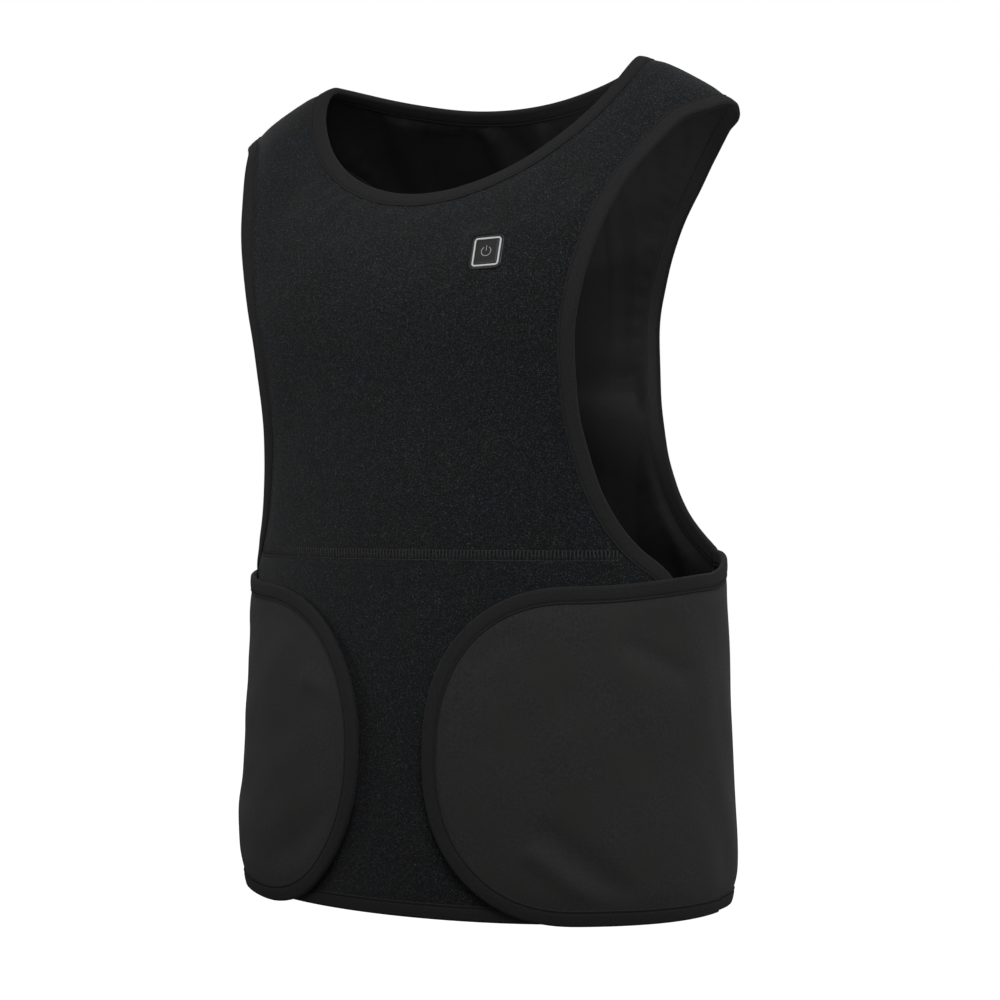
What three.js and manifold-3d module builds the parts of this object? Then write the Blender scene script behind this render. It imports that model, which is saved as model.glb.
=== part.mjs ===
// A heated work vest: a tabard of padded knit that hangs from two shoulder straps, with two wide
// side wings that wrap round from the back and close on the front. Every panel is a thin wall on
// one reference surface, and every raw edge is folded into a tape binding.
// The wearer faces -Y, +Z is up and +X is the wearer's left. Lengths are millimetres.

import * as THREE from "three";
import Module from "manifold-3d";
import { mergeVertices } from "three/addons/utils/BufferGeometryUtils.js";

const wasm = await Module();
wasm.setup();

// Driving sizes of the body.
const length = 610; // hem to neck point
const hemHalf = 191; // half width of the front panel's surface just above the hem
const frontDepth = 121; // middle to the front panel just above the hem
const backDepth = 120; // middle to the back panel just above the hem
const shoulderHalf = 205; // middle to the outer end of a shoulder
const shoulderDrop = 39; // neck point down to the outer end of a shoulder
const neckHalf = 132; // middle to a neck point
const neckDropFront = 101; // neck point down to the front neckline
const neckDropBack = 22; // neck point down to the back neckline
const seamHeight = 253; // hem to the flat seam across the front
const bandHeight = 252; // hem to the side corner of the back panel
const wingHeight = 229; // hem to the wings' top edge near the tip
const wingRise = 8; // how much higher that edge is at the side of the body
const hemRise = 2.5; // how much higher the hem is at the sides than at the middle

// Walls, tapes and clearances.
const frontWall = 3.1;
const backWall = 1.9;
const liningWall = 0.9;
const wingWall = 2.5;
const tape = 0.7; // binding tape
const reach = 9.5; // how far a binding covers the cloth
const clearance = 0.3; // between pieces that touch
const plyGap = 0.9; // between a wing's binding and the front panel's binding

// Forms of the surface.
const fullness = 0.85; // how square the body's section is, 1 is an ellipse
const blend = 9; // how sharply a strap turns into the wall
const crownSoft = 22; // radius over which the neck end of a shoulder rounds off
const crownShift = 12; // where that rounding is centred, outward from the neck point
const rollStart = 110; // width from which the roll of a shoulder widens
const front = { turn: 1, depth: "front", lean: 0.71, neckRoll: 18, endRoll: 53, size: frontDepth };
const back = { turn: -1, depth: "back", lean: 0.72, neckRoll: 55, endRoll: 55, size: backDepth };

// Sections of the body, from just below the hem. height is a share of the length, half of the hem's
// half width, front and back of the front and back depths, and stand of the wings' stand-off, which
// widens the back half.
const sections = [
  { height: -0.02, half: 0.965, front: 0.97, back: 0.97, stand: 1.0 },
  { height: 0.04, half: 1.0, front: 1.0, back: 1.0, stand: 1.0 },
  { height: 0.197, half: 0.982, front: 0.971, back: 0.98, stand: 1.0 },
  { height: 0.402, half: 0.959, front: 0.946, back: 0.967, stand: 1.0 },
  { height: 0.493, half: 0.985, front: 0.979, back: 0.95, stand: 0.8 },
  { height: 0.591, half: 1.088, front: 1.017, back: 0.942, stand: 0.4 },
  { height: 0.69, half: 1.16, front: 1.098, back: 0.942, stand: 0.0 },
  { height: 0.788, half: 1.186, front: 1.128, back: 0.95, stand: 0.0 },
  { height: 0.887, half: 1.196, front: 1.182, back: 0.958, stand: 0.0 },
  { height: 1.02, half: 1.196, front: 1.235, back: 0.967, stand: 0.0 },
];

// Armhole edges. height is a share of the way from the armhole's foot up to the end of the shoulder,
// half of a width that runs from that foot's half width to the shoulder's.
const frontArmhole = [
  { height: 0.039, half: 0.937 },
  { height: 0.079, half: 0.887 },
  { height: 0.142, half: 0.827 },
  { height: 0.221, half: 0.779 },
  { height: 0.332, half: 0.733 },
  { height: 0.442, half: 0.719 },
  { height: 0.553, half: 0.729 },
  { height: 0.678, half: 0.759 },
  { height: 0.804, half: 0.802 },
  { height: 0.898, half: 0.859 },
  { height: 0.962, half: 0.907 },
  { height: 0.988, half: 0.967 },
];
const backArmhole = [
  { height: 0.044, half: 0.867 },
  { height: 0.09, half: 0.761 },
  { height: 0.166, half: 0.66 },
  { height: 0.262, half: 0.584 },
  { height: 0.388, half: 0.535 },
  { height: 0.512, half: 0.514 },
  { height: 0.638, half: 0.533 },
  { height: 0.765, half: 0.598 },
  { height: 0.874, half: 0.717 },
  { height: 0.937, half: 0.819 },
  { height: 0.969, half: 0.89 },
  { height: 0.988, half: 0.964 },
];
// Necklines: across and down are the powers of the sine and cosine that shape them, 1 and 1 an ellipse.
const frontNeck = { drop: neckDropFront, across: 1.02, down: 1.25 };
const backNeck = { drop: neckDropBack, across: 1, down: 2.2 };

// Angles round the body, in degrees from the middle of the front.
const cornerAngle = 62.4; // where the front armhole meets the seam
const sideAngle = 78; // front panel's side edge, under the wing
const seamAngle = 120; // side seam, where a wing leaves the back panel
const sideTurn = 0.81; // share of the seam height at which the front's side edge starts to curve in

// Wings. side is +1 on the wearer's left, tip the arc from the middle of the front to the tip, drop how
// far it is fastened below level and lift how far the tip stands off.
const wings = [
  { name: "left", side: 1, tip: 23.5, drop: 0, lift: 1.5 },
  { name: "right", side: -1, tip: 31.5, drop: 5, lift: 5.5 },
];
const tipLength = 111; // length of a wing's rounded end
const tipPower = 2.25; // roundness of that end, 2 is an ellipse
const liftLength = 60; // length over which the lift dies out
const spineShare = 0.55; // how much of the rounded end the wing's middle line leaves free

// Hook patch under each wing.
const patchWide = 55;
const patchHigh = 110;
const patchGap = 0.5; // from the front panel to the patch
const patchClear = 0.9; // from the patch to the wing
const patchStart = 75; // from a wing's tip to the patch
const patchMiddle = 115; // hem to the middle of the patch

// Power button, let into a window in the front panel.
const buttonWide = 24.5;
const buttonTall = 26.2;
const buttonCorner = 4.2;
const buttonDrop = 148; // neck point down to the middle of the button
const buttonAcross = 70; // middle of the front to the middle of the button
const buttonTurn = 3.5; // degrees that it is sewn in out of level
const buttonProud = 0.8;
const frameWide = 20.5;
const frameTall = 22.2;
const frameBand = 1.3;
const frameCorner = 2.6;
const pocketDepth = 1.4;
const keyProud = 0.5;

// Mesh counts.
const centreCells = 10;
const neckCells = 11;
const armCells = centreCells + neckCells;
const acrossCells = 6;
const bandCells = 4;
const turnCells = 3;
const wingCells = 16;
const wingLayers = 3;
const patchCells = 3;
const sliver = 0.1; // least area of a triangle, as a share of its twin's
const armShare = 0.7; // greatest share of an armhole edge that faces the centre line
const levelShare = 1.05; // that share ends where the edge is this many times the neckline's fall
const fineSteps = 100;

const bindBuild = clearance + tape;
const wingGap = bindBuild + plyGap + tape + clearance; // from the front panel to a wing
const wingStand = wingGap + wingWall;
const liningFace = backWall + clearance;
const backStack = liningFace + liningWall;
const seamHalfGap = clearance / 2;
const shoulderSlip = 0.03; // keeps the front and back panels apart along the ridge of a shoulder
const small = 1e-3; // step over which a slope is measured
const same = 1e-5; // spots nearer than this are one
const halvings = 40;
const rad = THREE.MathUtils.degToRad;
const { lerp, smoothstep } = THREE.MathUtils;

// Value of one column of the sections at a height, on a smooth curve through the rows.
function section(column, height) {
  const share = THREE.MathUtils.clamp(height / length, sections[0].height, sections.at(-1).height);
  let i = 0;
  while (i < sections.length - 2 && share > sections[i + 1].height) i++;
  const slope = (k) => {
    const low = sections[Math.max(k - 1, 0)];
    const high = sections[Math.min(k + 1, sections.length - 1)];
    return (high[column] - low[column]) / (high.height - low.height);
  };
  const step = sections[i + 1].height - sections[i].height;
  const t = (share - sections[i].height) / step;
  const a = sections[i][column];
  const b = sections[i + 1][column];
  const rise = t * t * (3 - 2 * t);
  const bendA = t * (1 - t) * (1 - t) * step * slope(i);
  const bendB = t * t * (t - 1) * step * slope(i + 1);
  return a + (b - a) * rise + bendA + bendB;
}

function halfWidth(face, height) {
  const stand = face === back ? wingStand * section("stand", height) : 0;
  return hemHalf * section("half", height) + stand;
}

// Height of the ridge of the shoulders over a width.
function ridge(x) {
  const soft = (w) => crownSoft * Math.log1p(Math.exp((w - neckHalf - crownShift) / crownSoft));
  const slope = shoulderDrop / (soft(shoulderHalf) - soft(neckHalf));
  return length + slope * (soft(neckHalf) - soft(Math.abs(x)));
}

// Depth of the cloth at a width and a drop below the ridge: near the ridge it hangs as a tent, and
// further down it follows the body's wall.
function depthAt(face, x, fall) {
  const height = ridge(x) - fall * fall;
  const rolling = smoothstep(Math.abs(x), rollStart, shoulderHalf);
  const roll = lerp(face.neckRoll, face.endRoll, rolling);
  const tent = face.lean * fall * Math.sqrt(fall * fall + 2 * roll);
  const across = Math.min(Math.abs(x) / halfWidth(face, height), 1);
  const wall = face.size * section(face.depth, height) * (1 - across * across) ** (fullness / 2);
  const negligible = 0.05;
  if (tent < wall * negligible) return tent;
  if (wall < tent * negligible) return wall;
  return (tent ** -blend + wall ** -blend) ** (-1 / blend);
}

// A node is a point of the surface with the outward normal there.
function nodeOf(place, a, b) {
  const alongA = place(a + small, b).sub(place(a - small, b));
  const alongB = place(a, b + small).sub(place(a, b - small));
  return { p: place(a, b), n: alongA.cross(alongB).normalize() };
}

// Places: over the shoulders by width and fall, the root of the drop below the ridge; round the body
// by angle and height.
function tabard(face) {
  return (x, fall) => new THREE.Vector3(x, -face.turn * depthAt(face, x, fall), ridge(x) - fall * fall);
}
function upperNode(face, x, fall) {
  const node = nodeOf(tabard(face), x, fall);
  if (face === front) node.n.negate();
  return node;
}
function fallAt(x, height) {
  return Math.sqrt(Math.max(ridge(x) - height, 0));
}
function bandPlace(angle, height) {
  const face = Math.abs(angle) > 90 ? back : front;
  const x = halfWidth(face, height) * Math.sin(rad(angle));
  const rise = hemRise * Math.sin(rad(angle)) ** 2 * Math.max(1 - height / bandHeight, 0);
  return new THREE.Vector3(x, -face.turn * depthAt(face, x, fallAt(x, height)), height + rise);
}
function bandNode(angle, height) {
  return nodeOf(bandPlace, angle, height);
}

const mirrored = new Map();
function mirrorNode(node) {
  if (Math.abs(node.p.x) < 1e-9) return node;
  if (!mirrored.has(node)) {
    const flip = new THREE.Vector3(-1, 1, 1);
    const turned = { p: node.p.clone().multiply(flip), n: node.n.clone().multiply(flip) };
    mirrored.set(node, { ...node, ...turned });
  }
  return mirrored.get(node);
}

// Lines of places spread by their true length.
function spread(place, line, shares) {
  const steps = 2 * fineSteps;
  const run = [0];
  let last = place(...line(0));
  for (let i = 1; i <= steps; i++) {
    const next = place(...line(i / steps));
    run.push(run[i - 1] + next.distanceTo(last));
    last = next;
  }
  return shares.map((share) => {
    const target = share * run[steps];
    let i = 1;
    while (i < steps && run[i] < target) i++;
    const part = (target - run[i - 1]) / (run[i] - run[i - 1] || 1);
    return line((i - 1 + THREE.MathUtils.clamp(part, 0, 1)) / steps);
  });
}
const even = (count) => Array.from({ length: count + 1 }, (_, i) => i / count);

// A place moved by a distance on the surface, square to the run of its neighbours. towards says on
// which side the cloth lies.
function inset(place, spot, before, after, distance, towards) {
  const [u, v] = spot;
  const du = place(u + small, v).sub(place(u - small, v)).divideScalar(2 * small);
  const dv = place(u, v + small).sub(place(u, v - small)).divideScalar(2 * small);
  const run = place(...after).sub(place(...before));
  const normal = du.clone().cross(dv).normalize();
  const aim = run.clone().cross(normal).normalize();
  const inward = place(...towards).sub(place(...spot));
  if (aim.dot(inward) < 0) aim.negate();
  const uu = du.dot(du);
  const uv = du.dot(dv);
  const vv = dv.dot(dv);
  const au = aim.dot(du);
  const av = aim.dot(dv);
  const det = uu * vv - uv * uv;
  const a = (au * vv - av * uv) / det;
  const b = (av * uu - au * uv) / det;
  return [u + a * distance, v + b * distance];
}

// Inner nodes of a four-sided patch from the places along its sides.
function fill(bottom, top, left, right) {
  const wide = bottom.length - 1;
  const high = left.length - 1;
  return left.map((_, j) =>
    bottom.map((_, i) => {
      const u = i / wide;
      const v = j / high;
      return [0, 1].map((k) => {
        const sides = lerp(bottom[i][k], top[i][k], v) + lerp(left[j][k], right[j][k], u);
        const corners = lerp(lerp(bottom[0][k], bottom[wide][k], u), lerp(top[0][k], top[wide][k], u), v);
        return sides - corners;
      });
    }),
  );
}

// Cloth: nodes joined by quads, counted once however many patches share them.
class Cloth {
  constructor() {
    this.nodes = new Map();
    this.quads = [];
  }
  id(node) {
    if (!this.nodes.has(node)) this.nodes.set(node, this.nodes.size);
    return this.nodes.get(node);
  }
  quad(a, b, c, d) {
    this.quads.push([a, b, c, d]);
    [a, b, c, d].forEach((node) => this.id(node));
  }
  grid(rows, both = true) {
    for (let j = 0; j + 1 < rows.length; j++) {
      for (let i = 0; i + 1 < rows[j].length; i++) {
        const cell = [rows[j][i], rows[j][i + 1], rows[j + 1][i + 1], rows[j + 1][i]];
        this.quad(...cell);
        if (both) this.quad(...cell.map(mirrorNode));
      }
    }
  }
}

const outOf = (a, b, c, d) => a.n.clone().add(b.n).add(c.n).add(d.n);
const areaOf = (a, b, c) => new THREE.Triangle(a.p, b.p, c.p).getArea();
// Whether a quad is split from a to c, the diagonal that stands further out, unless that leaves a sliver.
function rises(a, b, c, d) {
  const thinAC = Math.min(areaOf(a, b, c), areaOf(a, c, d));
  const thinBD = Math.min(areaOf(a, b, d), areaOf(b, c, d));
  if (Math.min(thinAC, thinBD) < sliver * Math.max(thinAC, thinBD)) return thinAC > thinBD;
  return a.p.clone().add(c.p).sub(b.p).sub(d.p).dot(outOf(a, b, c, d)) >= 0;
}
// The two triangles of a quad, facing outward.
function splitQuad([a, b, c, d]) {
  const face = c.p.clone().sub(a.p).cross(d.p.clone().sub(b.p));
  const [p, q, r, s] = face.dot(outOf(a, b, c, d)) > 0 ? [a, b, c, d] : [a, d, c, b];
  return rises(a, b, c, d) ? [[p, q, r], [p, r, s]] : [[p, q, s], [q, r, s]];
}

function geometryOf(points, triangles) {
  const geometry = new THREE.BufferGeometry();
  const values = points.flatMap((point) => point.toArray());
  geometry.setAttribute("position", new THREE.Float32BufferAttribute(values, 3));
  geometry.setIndex(triangles.flat());
  return geometry;
}

// A wall between two offsets from the cloth. outer and inner give an offset for a node.
function wallOf(cloth, outer, inner) {
  const nodes = [...cloth.nodes.keys()];
  const count = nodes.length;
  const points = nodes.map((node) => node.p.clone().addScaledVector(node.n, outer(node)));
  nodes.forEach((node) => points.push(node.p.clone().addScaledVector(node.n, inner(node))));
  const triangles = [];
  const edges = new Map();
  for (const quad of cloth.quads) {
    for (const corner of splitQuad(quad)) {
      const [a, b, c] = corner.map((node) => cloth.id(node));
      triangles.push([a, b, c], [c + count, b + count, a + count]);
      for (const [from, to] of [[a, b], [b, c], [c, a]]) {
        if (!edges.delete(`${to} ${from}`)) edges.set(`${from} ${to}`, [from, to]);
      }
    }
  }
  for (const [from, to] of edges.values()) {
    triangles.push([to, from, from + count], [to, from + count, to + count]);
  }
  return geometryOf(points, triangles);
}

// Binding stations: an edge node and the node where the tape ends, reach inward of it.
function meanNode(a, b) {
  const p = a.p.clone().lerp(b.p, 0.5);
  return { p, n: a.n.clone().add(b.n).normalize(), wall: Math.max(a.wall, b.wall) };
}
function slideNode(a, b, distance) {
  const share = distance / a.p.distanceTo(b.p);
  return { ...a, p: a.p.clone().lerp(b.p, share), n: a.n.clone().lerp(b.n, share).normalize() };
}
function joinRuns(first, second) {
  const last = first.at(-1);
  const next = second[0];
  const joint = { edge: meanNode(last.edge, next.edge), rest: meanNode(last.rest, next.rest) };
  return [...first.slice(0, -1), joint, ...second.slice(1)];
}
function trimRun(run, distance) {
  const trim = (end, beside) => ({
    edge: slideNode(end.edge, beside.edge, distance),
    rest: slideNode(end.rest, beside.rest, distance),
  });
  return [trim(run[0], run[1]), ...run.slice(1, -1), trim(run.at(-1), run.at(-2))];
}
function mirrorRun(run) {
  return run.map(({ edge, rest }) => ({ edge: mirrorNode(edge), rest: mirrorNode(rest) }));
}

// A folded tape: eight points at each station, a leg outside the cloth, a leg inside and the fold
// round the edge.
function bindingOf(run, closed, outer, inner) {
  const count = run.length;
  const points = [];
  const triangles = [];
  run.forEach(({ edge, rest }, k) => {
    const before = closed ? run[(k + count - 1) % count] : run[Math.max(k - 1, 0)];
    const after = closed ? run[(k + 1) % count] : run[Math.min(k + 1, count - 1)];
    const along = after.edge.p.clone().sub(before.edge.p);
    const out = along.cross(edge.n).normalize();
    if (out.dot(edge.p.clone().sub(rest.p)) < 0) out.negate();
    const at = (node, high, far) => node.p.clone().addScaledVector(node.n, high).addScaledVector(out, far);
    points.push(
      at(rest, outer(rest) + bindBuild, 0),
      at(edge, outer(edge) + bindBuild, bindBuild),
      at(edge, inner(edge) - bindBuild, bindBuild),
      at(rest, inner(rest) - bindBuild, 0),
      at(rest, inner(rest) - clearance, 0),
      at(edge, inner(edge) - clearance, clearance),
      at(edge, outer(edge) + clearance, clearance),
      at(rest, outer(rest) + clearance, 0),
    );
  });
  const sides = 8;
  const spans = closed ? count : count - 1;
  for (let k = 0; k < spans; k++) {
    const here = run[k];
    const next = run[(k + 1) % count];
    const rising = rises(here.rest, here.edge, next.edge, next.rest);
    for (let s = 0; s < sides; s++) {
      const a = k * sides + s;
      const b = k * sides + ((s + 1) % sides);
      const c = ((k + 1) % count) * sides + ((s + 1) % sides);
      const d = ((k + 1) % count) * sides + s;
      const split = s % 2 === 1 || (s % 4 === 0) === rising;
      triangles.push(...(split ? [[a, b, c], [a, c, d]] : [[a, b, d], [b, c, d]]));
    }
  }
  if (!closed) {
    const cap = [[0, 1, 6], [0, 6, 7], [1, 2, 5], [1, 5, 6], [2, 3, 4], [2, 4, 5]];
    const last = (count - 1) * sides;
    for (const [a, b, c] of cap) {
      triangles.push([c, b, a], [a + last, b + last, c + last]);
    }
  }
  return outwardGeometry(points, triangles);
}

// Turns a closed mesh inside out where its volume says that its faces point inward.
function outwardGeometry(points, triangles) {
  let volume = 0;
  for (const [a, b, c] of triangles) {
    volume += points[a].dot(points[b].clone().cross(points[c]));
  }
  return geometryOf(points, volume < 0 ? triangles.map(([a, b, c]) => [c, b, a]) : triangles);
}

// Nodes of one place, made once for each spot.
function nodesOf(makeNode) {
  const known = new Map();
  return ([a, b]) => {
    const key = `${Math.round(a / same)} ${Math.round(b / same)}`;
    if (!known.has(key)) known.set(key, makeNode(a, b));
    return known.get(key);
  };
}

// Insets of the spots of an edge, all but its two ends, which are given.
function insetRun(place, spots, inside, first, last) {
  return spots.map((spot, k) => {
    if (k === 0) return first;
    if (k === spots.length - 1) return last;
    return inset(place, spot, spots[k - 1], spots[k + 1], reach, inside(spot));
  });
}

// Half of an upper panel, from the middle to one armhole. It gives the cloth's rows, the runs of its
// neckline and armhole, and the nodes along its foot.
function upperHalf(face, armhole, corner, foot, neckEdge) {
  const place = tabard(face);
  const wall = face === front ? frontWall : backStack;
  const node = nodesOf((x, fall) => ({ ...upperNode(face, x, fall), wall }));
  const neckLine = (t) => {
    const turn = (t * Math.PI) / 2;
    const x = neckHalf * Math.sin(turn) ** neckEdge.across;
    const drop = neckEdge.drop * Math.max(Math.cos(turn), 0) ** neckEdge.down;
    return [x, Math.max(fallAt(x, length - drop), shoulderSlip)];
  };
  const neck = spread(place, neckLine, even(neckCells));

  const knots = armhole.map(({ height, half }) => {
    const x = half * lerp(corner, shoulderHalf, height);
    return new THREE.Vector3(x, fallAt(x, lerp(foot, length - shoulderDrop, height)), 0);
  });
  const armStart = new THREE.Vector3(corner, fallAt(corner, foot), 0);
  const armEnd = new THREE.Vector3(shoulderHalf, shoulderSlip, 0);
  const armCurve = new THREE.CatmullRomCurve3([armStart, ...knots, armEnd]);
  const armLine = (t) => armCurve.getPoint(t).toArray().slice(0, 2);

  const shoulder = (t) => [lerp(neckHalf, shoulderHalf, t), shoulderSlip];
  const wide = place(...shoulder(0)).distanceTo(place(...shoulder(1)));
  const below = ([x, fall]) => [x, fall + 1];
  const towardsMiddle = ([x, fall]) => [x / 2, fall];
  const beyond = [-neck[1][0], neck[1][1]];
  const middle = [0, inset(place, neck[0], beyond, neck[1], reach, below(neck[0]))[1]];

  const fine = even(fineSteps);
  const level = spread(place, armLine, fine).findIndex(([, fall]) => fall < levelShare * middle[1]);
  const turn = Math.min(armShare, fine[level]);
  const lowShares = even(centreCells).map((t) => t * turn);
  const highShares = even(neckCells).slice(1).map((t) => lerp(turn, 1, t));
  const arm = spread(place, armLine, [...lowShares, ...highShares]);
  const neckRest = insetRun(place, neck, below, middle, shoulder(reach / wide));

  const startRest = inset(place, arm[0], arm[0], arm[1], reach, towardsMiddle(arm[0]));
  const nextRest = inset(place, arm[1], arm[0], arm[2], reach, towardsMiddle(arm[1]));
  let low = 0;
  let high = 1;
  for (let i = 0; i < halvings; i++) {
    const share = (low + high) / 2;
    const x = lerp(startRest[0], nextRest[0], share);
    const fall = lerp(startRest[1], nextRest[1], share);
    if (ridge(x) - fall * fall < foot) low = share;
    else high = share;
  }
  const footEnd = lerp(startRest[0], nextRest[0], low);
  const footAt = (x) => [x, fallAt(x, foot)];
  const armRest = insetRun(place, arm, towardsMiddle, footAt(footEnd), shoulder(1 - reach / wide));

  const heights = even(centreCells).map((t) => lerp(foot, ridge(0) - middle[1] ** 2, t));
  const left = [...heights.slice(0, -1).map((height) => [0, fallAt(0, height)]), ...neckRest];
  const bottom = spread(place, (t) => footAt(t * footEnd), even(acrossCells));
  const top = spread(place, (t) => shoulder(lerp(reach / wide, 1 - reach / wide, t)), even(acrossCells));
  const rows = fill(bottom, top, left, armRest).map((row) => row.map(node));
  const run = (edges, rests) => edges.map((spot, k) => ({ edge: node(spot), rest: node(rests[k]) }));
  return { rows, neck: run(neck, neckRest), arm: run(arm, armRest), foot: [...rows[0], node(arm[0])] };
}
const stripRows = (run) => run.map(({ edge, rest }) => [rest, edge]);

// Half of the lower front panel. Its side edge runs straight up under the wing and then curves in to
// the armhole.
function lowerFrontHalf(upper) {
  const top = seamHeight - seamHalfGap;
  const node = nodesOf((angle, height) => ({ ...bandNode(angle, height), wall: frontWall }));
  const turnStart = sideTurn * seamHeight;
  const sideSpot = (height) => {
    const turned = Math.max((height - turnStart) / (seamHeight - turnStart), 0);
    const share = lerp(Math.sin(rad(sideAngle)), Math.sin(rad(cornerAngle)), turned ** 3);
    return [THREE.MathUtils.radToDeg(Math.asin(share)), height];
  };
  const straight = even(bandCells).map((t) => t * turnStart);
  const curved = even(turnCells).slice(1).map((t) => lerp(turnStart, top, t));
  const side = [...straight, ...curved].map(sideSpot);
  const footX = upper.foot.map(({ p }) => p.x);
  const angleOf = (x, height) => THREE.MathUtils.radToDeg(Math.asin(x / halfWidth(front, height)));
  const topLine = footX.map((x) => [angleOf(x, top), top]);
  const sideInset = (spot, k) => {
    const before = side[Math.max(k - 1, 0)];
    const after = side[Math.min(k + 1, side.length - 1)];
    return inset(bandPlace, spot, before, after, reach, [0, spot[1]]);
  };
  const cornerRest = [sideInset(side[0], 0)[0], reach];
  const sideRest = side.map((spot, k) => {
    if (k === 0) return cornerRest;
    if (k === side.length - 1) return topLine.at(-2);
    return sideInset(spot, k);
  });
  const hemRest = even(acrossCells).map((t) => [t * cornerRest[0], reach]);
  const hem = hemRest.map(([angle], i) => [i === acrossCells ? side[0][0] : angle, 0]);
  const left = sideRest.map(([, height]) => [0, height]);
  const rows = fill(hemRest, topLine.slice(0, -1), left, sideRest).map((row) => row.map(node));
  const run = (edges, rests) => edges.map((spot, k) => ({ edge: node(spot), rest: node(rests[k]) }));
  return { rows, hem: run(hem, hemRest), side: run(side, sideRest) };
}

// Half of the back below the armholes: straight down from the foot of the upper half.
function lowerBackHalf(upper) {
  const angles = upper.foot.map(({ p }) => {
    return 180 - THREE.MathUtils.radToDeg(Math.asin(p.x / halfWidth(back, bandHeight)));
  });
  const heights = [0, ...even(bandCells).map((t) => lerp(reach, bandHeight, t))];
  const rowAt = (height) => angles.map((angle) => ({ ...bandNode(angle, height), wall: backStack }));
  const rows = heights.map((height, j) => (j === heights.length - 1 ? upper.foot : rowAt(height)));
  return { rows, hem: rows[0].map((edge, i) => ({ edge, rest: rows[1][i] })) };
}

function bothSides(run) {
  return [...mirrorRun(run).slice(1).reverse(), ...run];
}

// A wing's outer surface, by the arc from the middle of the front and the height.
function wingSurface(angle, height) {
  if (angle > 90) return bandPlace(angle, height);
  const { p, n } = bandNode(angle, height);
  return p.addScaledVector(n, wingStand);
}
const arcTable = [0];
const arcStep = 0.5;
for (let angle = arcStep; angle <= seamAngle; angle += arcStep) {
  const chord = wingSurface(angle, wingHeight / 2).distanceTo(wingSurface(angle - arcStep, wingHeight / 2));
  arcTable.push(arcTable.at(-1) + chord);
}
function angleAtArc(arc) {
  let i = 1;
  while (i < arcTable.length - 1 && arcTable[i] < arc) i++;
  return (i - 1 + (arc - arcTable[i - 1]) / (arcTable[i] - arcTable[i - 1])) * arcStep;
}
const seamArc = arcTable.at(-1) - 2 * clearance;
const sideArc = arcTable[90 / arcStep];
const wingPlace = (arc, height) => wingSurface(angleAtArc(arc), height);

// One wing as cloth, with the run of its edge from the side seam over the top, round the tip and back
// along the hem.
function wingCloth({ tip, drop, lift }) {
  const middle = wingHeight / 2;
  const centre = tip + tipLength;
  const sag = (arc) => drop * (1 - smoothstep(arc, tip, sideArc));
  const node = nodesOf((arc, height) => ({
    ...nodeOf(wingPlace, arc, height - sag(arc)),
    lift: lift * (1 - smoothstep(arc, tip, tip + liftLength)),
  }));
  const topEdge = (arc) => {
    const rise = wingRise * smoothstep(arc, centre, sideArc);
    const corner = (bandHeight - wingHeight - wingRise) * smoothstep(arc, sideArc, seamArc);
    return wingHeight + rise + corner;
  };
  const spineEnd = tip + spineShare * tipLength;
  const spine = even(wingCells).map((t) => [lerp(seamArc, spineEnd, t), middle]);
  const half = (edgeHeight) => {
    const bend = 0.5; // where the line leaves the straight edge for the rounded end
    const line = (t) => {
      if (t < bend) {
        const arc = lerp(seamArc, centre, t / bend);
        return [arc, edgeHeight(arc)];
      }
      const turn = (((t - bend) / (1 - bend)) * Math.PI) / 2;
      const arc = centre - tipLength * Math.sin(turn) ** (2 / tipPower);
      const high = Math.max(Math.cos(turn), 0) ** (2 / tipPower);
      return [arc, lerp(middle, edgeHeight(centre), high)];
    };
    const edge = spread(wingPlace, line, even(wingCells));
    const up = Math.sign(edge[0][1] - middle);
    const rest = insetRun(
      wingPlace,
      edge,
      ([arc]) => [Math.max(arc, centre), middle],
      [seamArc, edge[0][1] - up * reach],
      [tip + reach, middle],
    );
    const side = even(wingLayers).map((t) => [seamArc, lerp(rest[0][1], middle, t)]);
    const nose = even(wingLayers).map((t) => [lerp(tip + reach, spineEnd, t), middle]);
    const rows = fill(rest, spine, side, nose).map((row) => row.map(node));
    return { rows, run: edge.map((spot, k) => ({ edge: node(spot), rest: node(rest[k]) })) };
  };
  const upper = half(topEdge);
  const lower = half(() => 0);
  return { patches: [upper.rows, lower.rows], run: [...upper.run, ...lower.run.slice(0, -1).reverse()] };
}

// Materials, plain here.
function finish(color, roughness) {
  return new THREE.MeshStandardMaterial({ color, roughness, metalness: 0 });
}
const knit = finish(0x24272b, 0.95);
const softshell = finish(0x2b2b2c, 0.85);
const liningCloth = finish(0x131314, 0.8);
const bindingTape = finish(0x17181a, 0.85);
const hookTape = finish(0x121213, 0.9);
const blackPlastic = finish(0x151617, 0.45);
const whitePlastic = finish(0xd9d9d6, 0.4);

const vest = new THREE.Group();
vest.name = "heated_vest";
function add(name, geometry, material, matrix = new THREE.Matrix4()) {
  const mesh = new THREE.Mesh(geometry, material);
  mesh.name = name;
  mesh.applyMatrix4(matrix);
  vest.add(mesh);
}
const always = (value) => () => value;

// Front and back panels.
const cornerOf = (face, height, angle) => halfWidth(face, height) * Math.sin(rad(angle));
const frontCorner = cornerOf(front, seamHeight, cornerAngle);
const frontUpper = upperHalf(front, frontArmhole, frontCorner, seamHeight + seamHalfGap, frontNeck);
const frontLower = lowerFrontHalf(frontUpper);
const backCorner = cornerOf(back, bandHeight, seamAngle);
const backUpper = upperHalf(back, backArmhole, backCorner, bandHeight, backNeck);
const backLower = lowerBackHalf(backUpper);

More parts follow.
